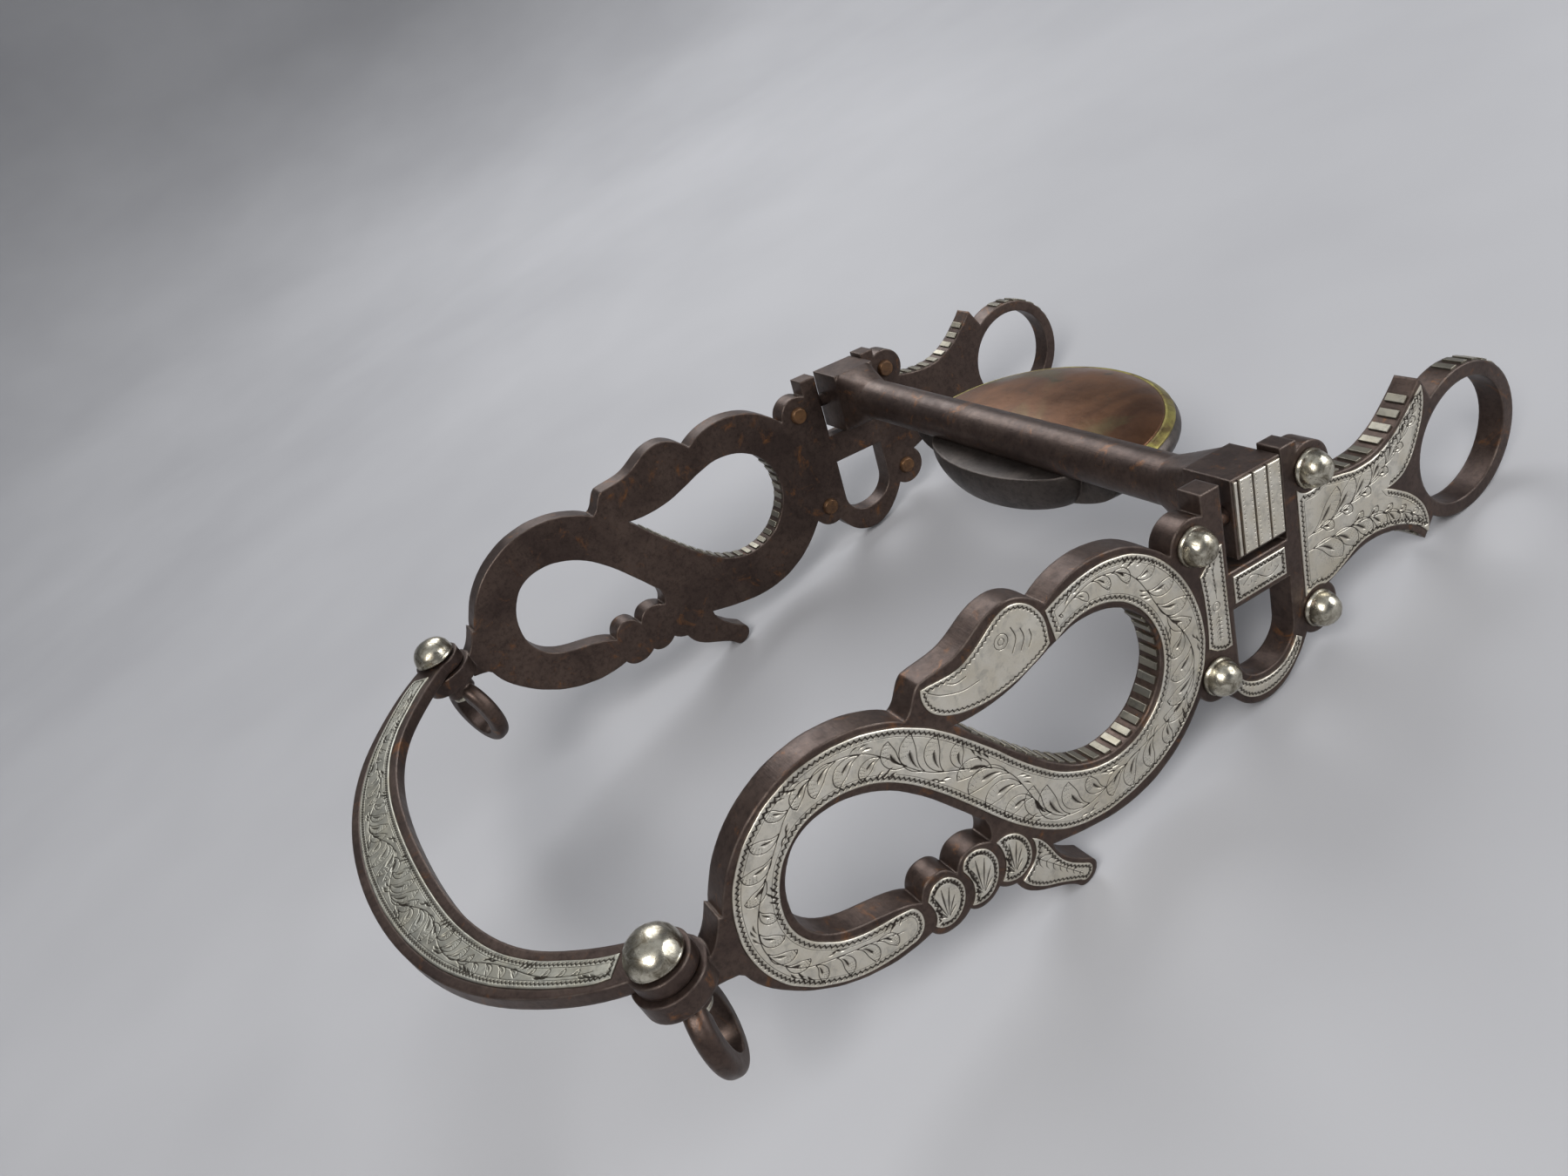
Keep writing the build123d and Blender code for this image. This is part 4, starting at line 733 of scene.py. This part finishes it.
# purchase: palm leaf with two arms
palm = pair("purchase_silver")
palm.border()
ARM_UP = [(19.2, -1.8), (26, -0.8), (33, 0.6), (39, 2.8), (44, 6.2), (47.6, 9.8), (49.6, 12.4)]
ARM_LOW = [(19.2, -4.6), (26, -4.6), (33, -4.8), (39, -5.8), (44, -7.8), (48, -10.2), (50.4, -12.6)]
row(palm, ARM_UP, 1, 7, 10.0, 3.6, 3.9)
row(palm, ARM_UP, -1, 6, 4.0, 2.8, 2.1, start=0.10, end=0.85, half=0)
row(palm, ARM_LOW, -1, 7, 9.4, 3.2, 3.7)
row(palm, ARM_LOW, 1, 5, 3.6, 2.4, 1.9, start=0.35, end=0.85, half=0)
place(palm, "purchase")

# strap
strap = pair("strap_silver")
strap.border(zig=0.62, amp=0.30, pitch=0.95, inner=0)
lo, hi = strap.loops[0].min(0), strap.loops[0].max(0)
strap.cut(arc((-3.7, -4.5), 0.85), 0.13)
strap.dot((-3.7, -4.5), 0.22)
for sg, end in ((1, hi[1] - 2.2), (-1, lo[1] + 2.4)):
    y = np.linspace(-4.5 + sg * 1.4, end, 8)
    xm = []
    for yy in y:
        xs = np.arange(lo[0], hi[0], 0.1)
        ins = inside(np.column_stack([xs, np.full(len(xs), yy)]), strap.loops)
        xm.append(xs[ins].mean() if ins.any() else -3.7)
    strap.cut(np.column_stack([xm, y]), 0.09)
    for x_, yy in list(zip(xm, y))[1:-1]:
        dash(strap, (x_ + 0.12, yy), math.pi / 2 * sg + 0.7 * sg - 0.6, 1.15, 0.15)
        dash(strap, (x_ - 0.12, yy), math.pi / 2 * sg - 0.7 * sg + 0.1, 1.15, 0.15)
place(strap, "strap")

# crossbar: wave
bar = pair("crossbar_silver")
bar.border(zig=0.62, amp=0.30, pitch=0.95, inner=1.0)
lo, hi = bar.loops[0].min(0), bar.loops[0].max(0)
xs = np.linspace(lo[0] + 1.9, hi[0] - 1.9, 26)
ym = (lo[1] + hi[1]) / 2
span = (hi[1] - lo[1]) / 2 - 1.6
bar.cut(np.column_stack([xs, ym + span * np.sin((xs - xs[0]) / (xs[-1] - xs[0]) * 2 * math.pi)]), 0.13)
for k, x_ in enumerate(np.linspace(xs[0] + 1, xs[-1] - 1, 9)):
    dash(bar, (x_, ym - 0.4 * span * math.sin((x_ - xs[0]) / (xs[-1] - xs[0]) * 2 * math.pi)), 0.9 if k % 2 else -0.9, 0.9, 0.12)
place(bar, "crossbar")

# curb loop rim
curb = pair("curb_silver")
curb.border(zig=0.62, amp=0.30, pitch=0.95, inner=0)
place(curb, "curb")

# block bars: two rows of punched dots on each
for side, sgn in (("near", 1), ("off", -1)):
    base = (np.array([0, RIG[1], RIG[2]]), E_S * sgn, E_W, E_X * sgn)
    blk = Plate(side + "_block_silver", base, SILVER)
    for L in blk.loops:
        lo, hi = L.min(0), L.max(0)
        if hi[0] - lo[0] > 1.2:
            for x_ in (lo[0] + 0.42, hi[0] - 0.42):
                for y_ in np.arange(lo[1] + 0.6, hi[1] - 0.4, 0.85):
                    blk.dot((x_, y_), 0.21)
    blk.build(side + "_block_engraved", "mouthpiece", "silver")

# slobber bar
BOW_EDGE_OUT = [(62.6, -7.0), (61.0, -9.6), (58.4, -12.3), (52.2, -17.7), (43.8, -23.5), (33.3, -28.3), (21.6, -31.4), (10.0, -33.0), (0.0, -33.4)]
BOW_EDGE_IN = [(59.7, -3.9), (58.3, -5.8), (56.2, -8.0), (53.0, -10.8), (47.2, -15.4), (38.8, -19.7), (27.4, -22.8), (15.1, -24.3), (0.0, -24.8)]
mirror_x = lambda pts: [(-x, y) for x, y in pts]
outer = spline(mirror_x(BOW_EDGE_OUT) + BOW_EDGE_OUT[-2::-1], 0.8)
inner = spline(BOW_EDGE_IN + mirror_x(BOW_EDGE_IN)[-2::-1], 0.8)
bow = Plate("slobber_silver", BOW, BOW_SILVER, loops=[np.vstack([outer, inner])])
mid = [(60.4, -6.6), (56.8, -10.7), (52.2, -14.5), (45.0, -19.8), (36.0, -24.2), (24.5, -27.2), (12.0, -28.7), (0, -29.1)]
path = mirror_x(mid) + mid[-2::-1]
bow.border(zig=0.74, amp=0.27, pitch=0.88, inner=1.28)
vine(bow, path, pitch=13.5, ends=2.2, hmax=5.2)
bow.build("slobber_engraved", "slobber", "silver")

# ---------------------------------------------------------------------------
# hammered domes: turned profiles in place of the frame's coarse ones
# ---------------------------------------------------------------------------
def turned(name, spots, profile, node, body, material, mirrored):
    """Revolved shells; spots are (origin, axis, side direction) in mm, profile is (radius, height)."""
    n, verts, faces = 56, [], []
    for origin, axis, side in spots:
        other = np.cross(axis, side)
        base = len(verts)
        for r, h in profile:
            for i in range(n):
                a = 2 * math.pi * i / n
                k = 1 + 0.012 * math.sin(3 * a + h) + 0.008 * math.sin(5 * a - 2 * h)
                verts.append(origin + axis * h + (side * math.cos(a) + other * math.sin(a)) * r * k)
        for j in range(len(profile) - 1):
            for i in range(n):
                k = (i + 1) % n
                a, b = base + j * n, base + (j + 1) * n
                faces.append((a + i, a + k, b + k, b + i))
        faces.append(tuple(base + i for i in range(n - 1, -1, -1)))
        faces.append(tuple(base + (len(profile) - 1) * n + i for i in range(n)))
    P = np.array(verts) / 1000
    if mirrored:
        P = P * (-1, 1, 1)
        faces = [f[::-1] for f in faces]
    me = bpy.data.meshes.new(name)
    me.from_pydata([tuple(v) for v in P], [], faces)
    me.polygons.foreach_set("use_smooth", [len(f) == 4 for f in faces])
    me.materials.append(material)
    o = bpy.data.objects.new(name, me)
    bpy.context.scene.collection.objects.link(o)
    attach(o, body)
    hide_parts(node)


def dome(r, h, count=18):
    return [(r * math.cos(t) ** 0.86, h * math.sin(t)) for t in np.linspace(0, math.pi / 2 - 0.02, count)]


CONCHOS = [(-7.1, 8.9), (-5.0, -18.2), (21.0, 11.2), (20.8, -16.9)]
concho = [(3.35, 0.0), (3.62, 0.10), (3.66, 0.35), (3.50, 0.62), (3.42, 0.75)] + [(r, h + 0.8) for r, h in dome(3.38, 3.5)]
swivel = [(2.3, -12.9), (2.75, -12.6), (2.85, -12.0), (2.7, -11.5), (1.9, -11.45), (1.9, -0.02), (4.55, 0.0), (4.78, 0.12), (4.80, 0.5)] \
    + [(r, h + 0.55) for r, h in dome(4.74, 3.85)]
for side, body, flip in (("near", "near_shank", False), ("off", "off_shank", True)):
    turned(side + "_concho_domes", [(RIG + E_S * a + E_W * b + E_X * 69.0, E_X, E_S) for a, b in CONCHOS], concho,
           side + "_conchos", body, DOME, flip)
    turned(side + "_swivel_dome", [(RIG - 114.0 * E_S - 9.3 * E_W + E_X * 65.8, UP, E_X)], swivel,
           side + "_swivel_rivet", body, DOME, flip)

# ---------------------------------------------------------------------------
# finish of the frame's own nodes
# ---------------------------------------------------------------------------
def finish_of(n):
    for part, mat in (("strips", STRIPS), ("conchos", DOME), ("rivets", RIVET), ("swivel_rivet", DOME), ("spoon_shell", COPPER),
                      ("spoon_seam", BRASS), ("spoon_cup", STEEL_DARK), ("silver", SILVER)):
        if part in n:
            return mat
    return STEEL


for n, o in NODES.items():
    o.data.materials.clear()
    o.data.materials.append(finish_of(n))

# ---------------------------------------------------------------------------
# floor, light, camera
# ---------------------------------------------------------------------------
def stage_floor():
    """A plain round floor that rises smoothly into its own backdrop."""
    n, rings = 96, [0.0, 0.15, 0.3, 0.5, 0.7, 0.9] + [0.9 + 0.12 * k for k in range(1, 22)]
    verts, faces = [(0, 0, -0.0003)], []
    for r in rings[1:]:
        z = -0.0003 + 0.62 * max(0.0, r - 0.7) ** 1.8
        verts += [(r * math.cos(2 * math.pi * i / n), r * math.sin(2 * math.pi * i / n), z) for i in range(n)]
    for i in range(n):
        faces.append((0, 1 + i, 1 + (i + 1) % n))
    for k in range(len(rings) - 2):
        a = 1 + k * n
        for i in range(n):
            j = (i + 1) % n
            faces.append((a + i, a + n + i, a + n + j, a + j))
    me = bpy.data.meshes.new("floor")
    me.from_pydata(verts, [], faces)
    me.polygons.foreach_set("use_smooth", [True] * len(me.polygons))
    o = bpy.data.objects.new("floor", me)
    bpy.context.scene.collection.objects.link(o)
    m = Mat("floor_paper")
    c = m.mix(m.ramp(m.noise(3.0, 4, 0.6), [(0.35, 0.0), (0.65, 1.0)]), (0.33, 0.33, 0.345), (0.39, 0.39, 0.405))
    me.materials.append(m.finish(c, 0.8, [(m.noise(900, 3, 0.6), 0.05, 0.0002)], metallic=0.0, spec=0.2))
    o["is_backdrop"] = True


stage_floor()


def area(name, loc, target, size, watts, color=(1, 1, 1)):
    d = bpy.data.lights.new(name, "AREA")
    d.shape, d.size, d.energy, d.color = "DISK", size, watts, color
    o = bpy.data.objects.new(name, d)
    bpy.context.scene.collection.objects.link(o)
    o.location = loc
    o.rotation_mode = "QUATERNION"
    o.rotation_quaternion = (Vector(target) - Vector(loc)).to_track_quat("-Z", "Y")


area("key", (0.55, -0.45, 0.75), (0, 0, 0.03), 0.45, 7.5, (1.0, 0.985, 0.96))
area("fill", (0.55, 0.75, 0.40), (0.03, 0, 0.03), 0.70, 7.0, (0.97, 0.985, 1.0))
area("back", (-0.65, 0.30, 0.65), (0, 0, 0.03), 0.60, 5.0, (0.98, 0.99, 1.0))

world = bpy.data.worlds.new("studio")
world.use_nodes = True
bg = world.node_tree.nodes["Background"]
bg.inputs["Color"].default_value = (0.80, 0.82, 0.85, 1)
bg.inputs["Strength"].default_value = 0.62
bpy.context.scene.world = world

F = 1384.863
CAM_R = Vector((1.9438663648818886, 0.9266917773009011, -0.8989775063898157))
CAM_T = np.array([42.8686672233201, -21.710838850017627, 264.04606253653174])
R = np.array(Matrix.Rotation(CAM_R.length, 3, CAM_R.normalized()))
AX = np.column_stack([E_X, E_S, E_W])
C = RIG + AX @ (-R.T @ CAM_T)
R = R @ AX.T
cam = bpy.data.cameras.new("camera")
cam.sensor_width, cam.sensor_fit = 36.0, "HORIZONTAL"
cam.lens = F / 1800 * 36.0
cam.clip_start, cam.clip_end = 0.01, 20
co = bpy.data.objects.new("camera", cam)
bpy.context.scene.collection.objects.link(co)
M = Matrix.Identity(4)
for i in range(3):
    M[i][0], M[i][1], M[i][2], M[i][3] = R[0][i], -R[1][i], -R[2][i], C[i] / 1000
co.matrix_world = M
bpy.context.scene.camera = co
bpy.context.scene.view_settings.view_transform = "Standard"

lo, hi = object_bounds()
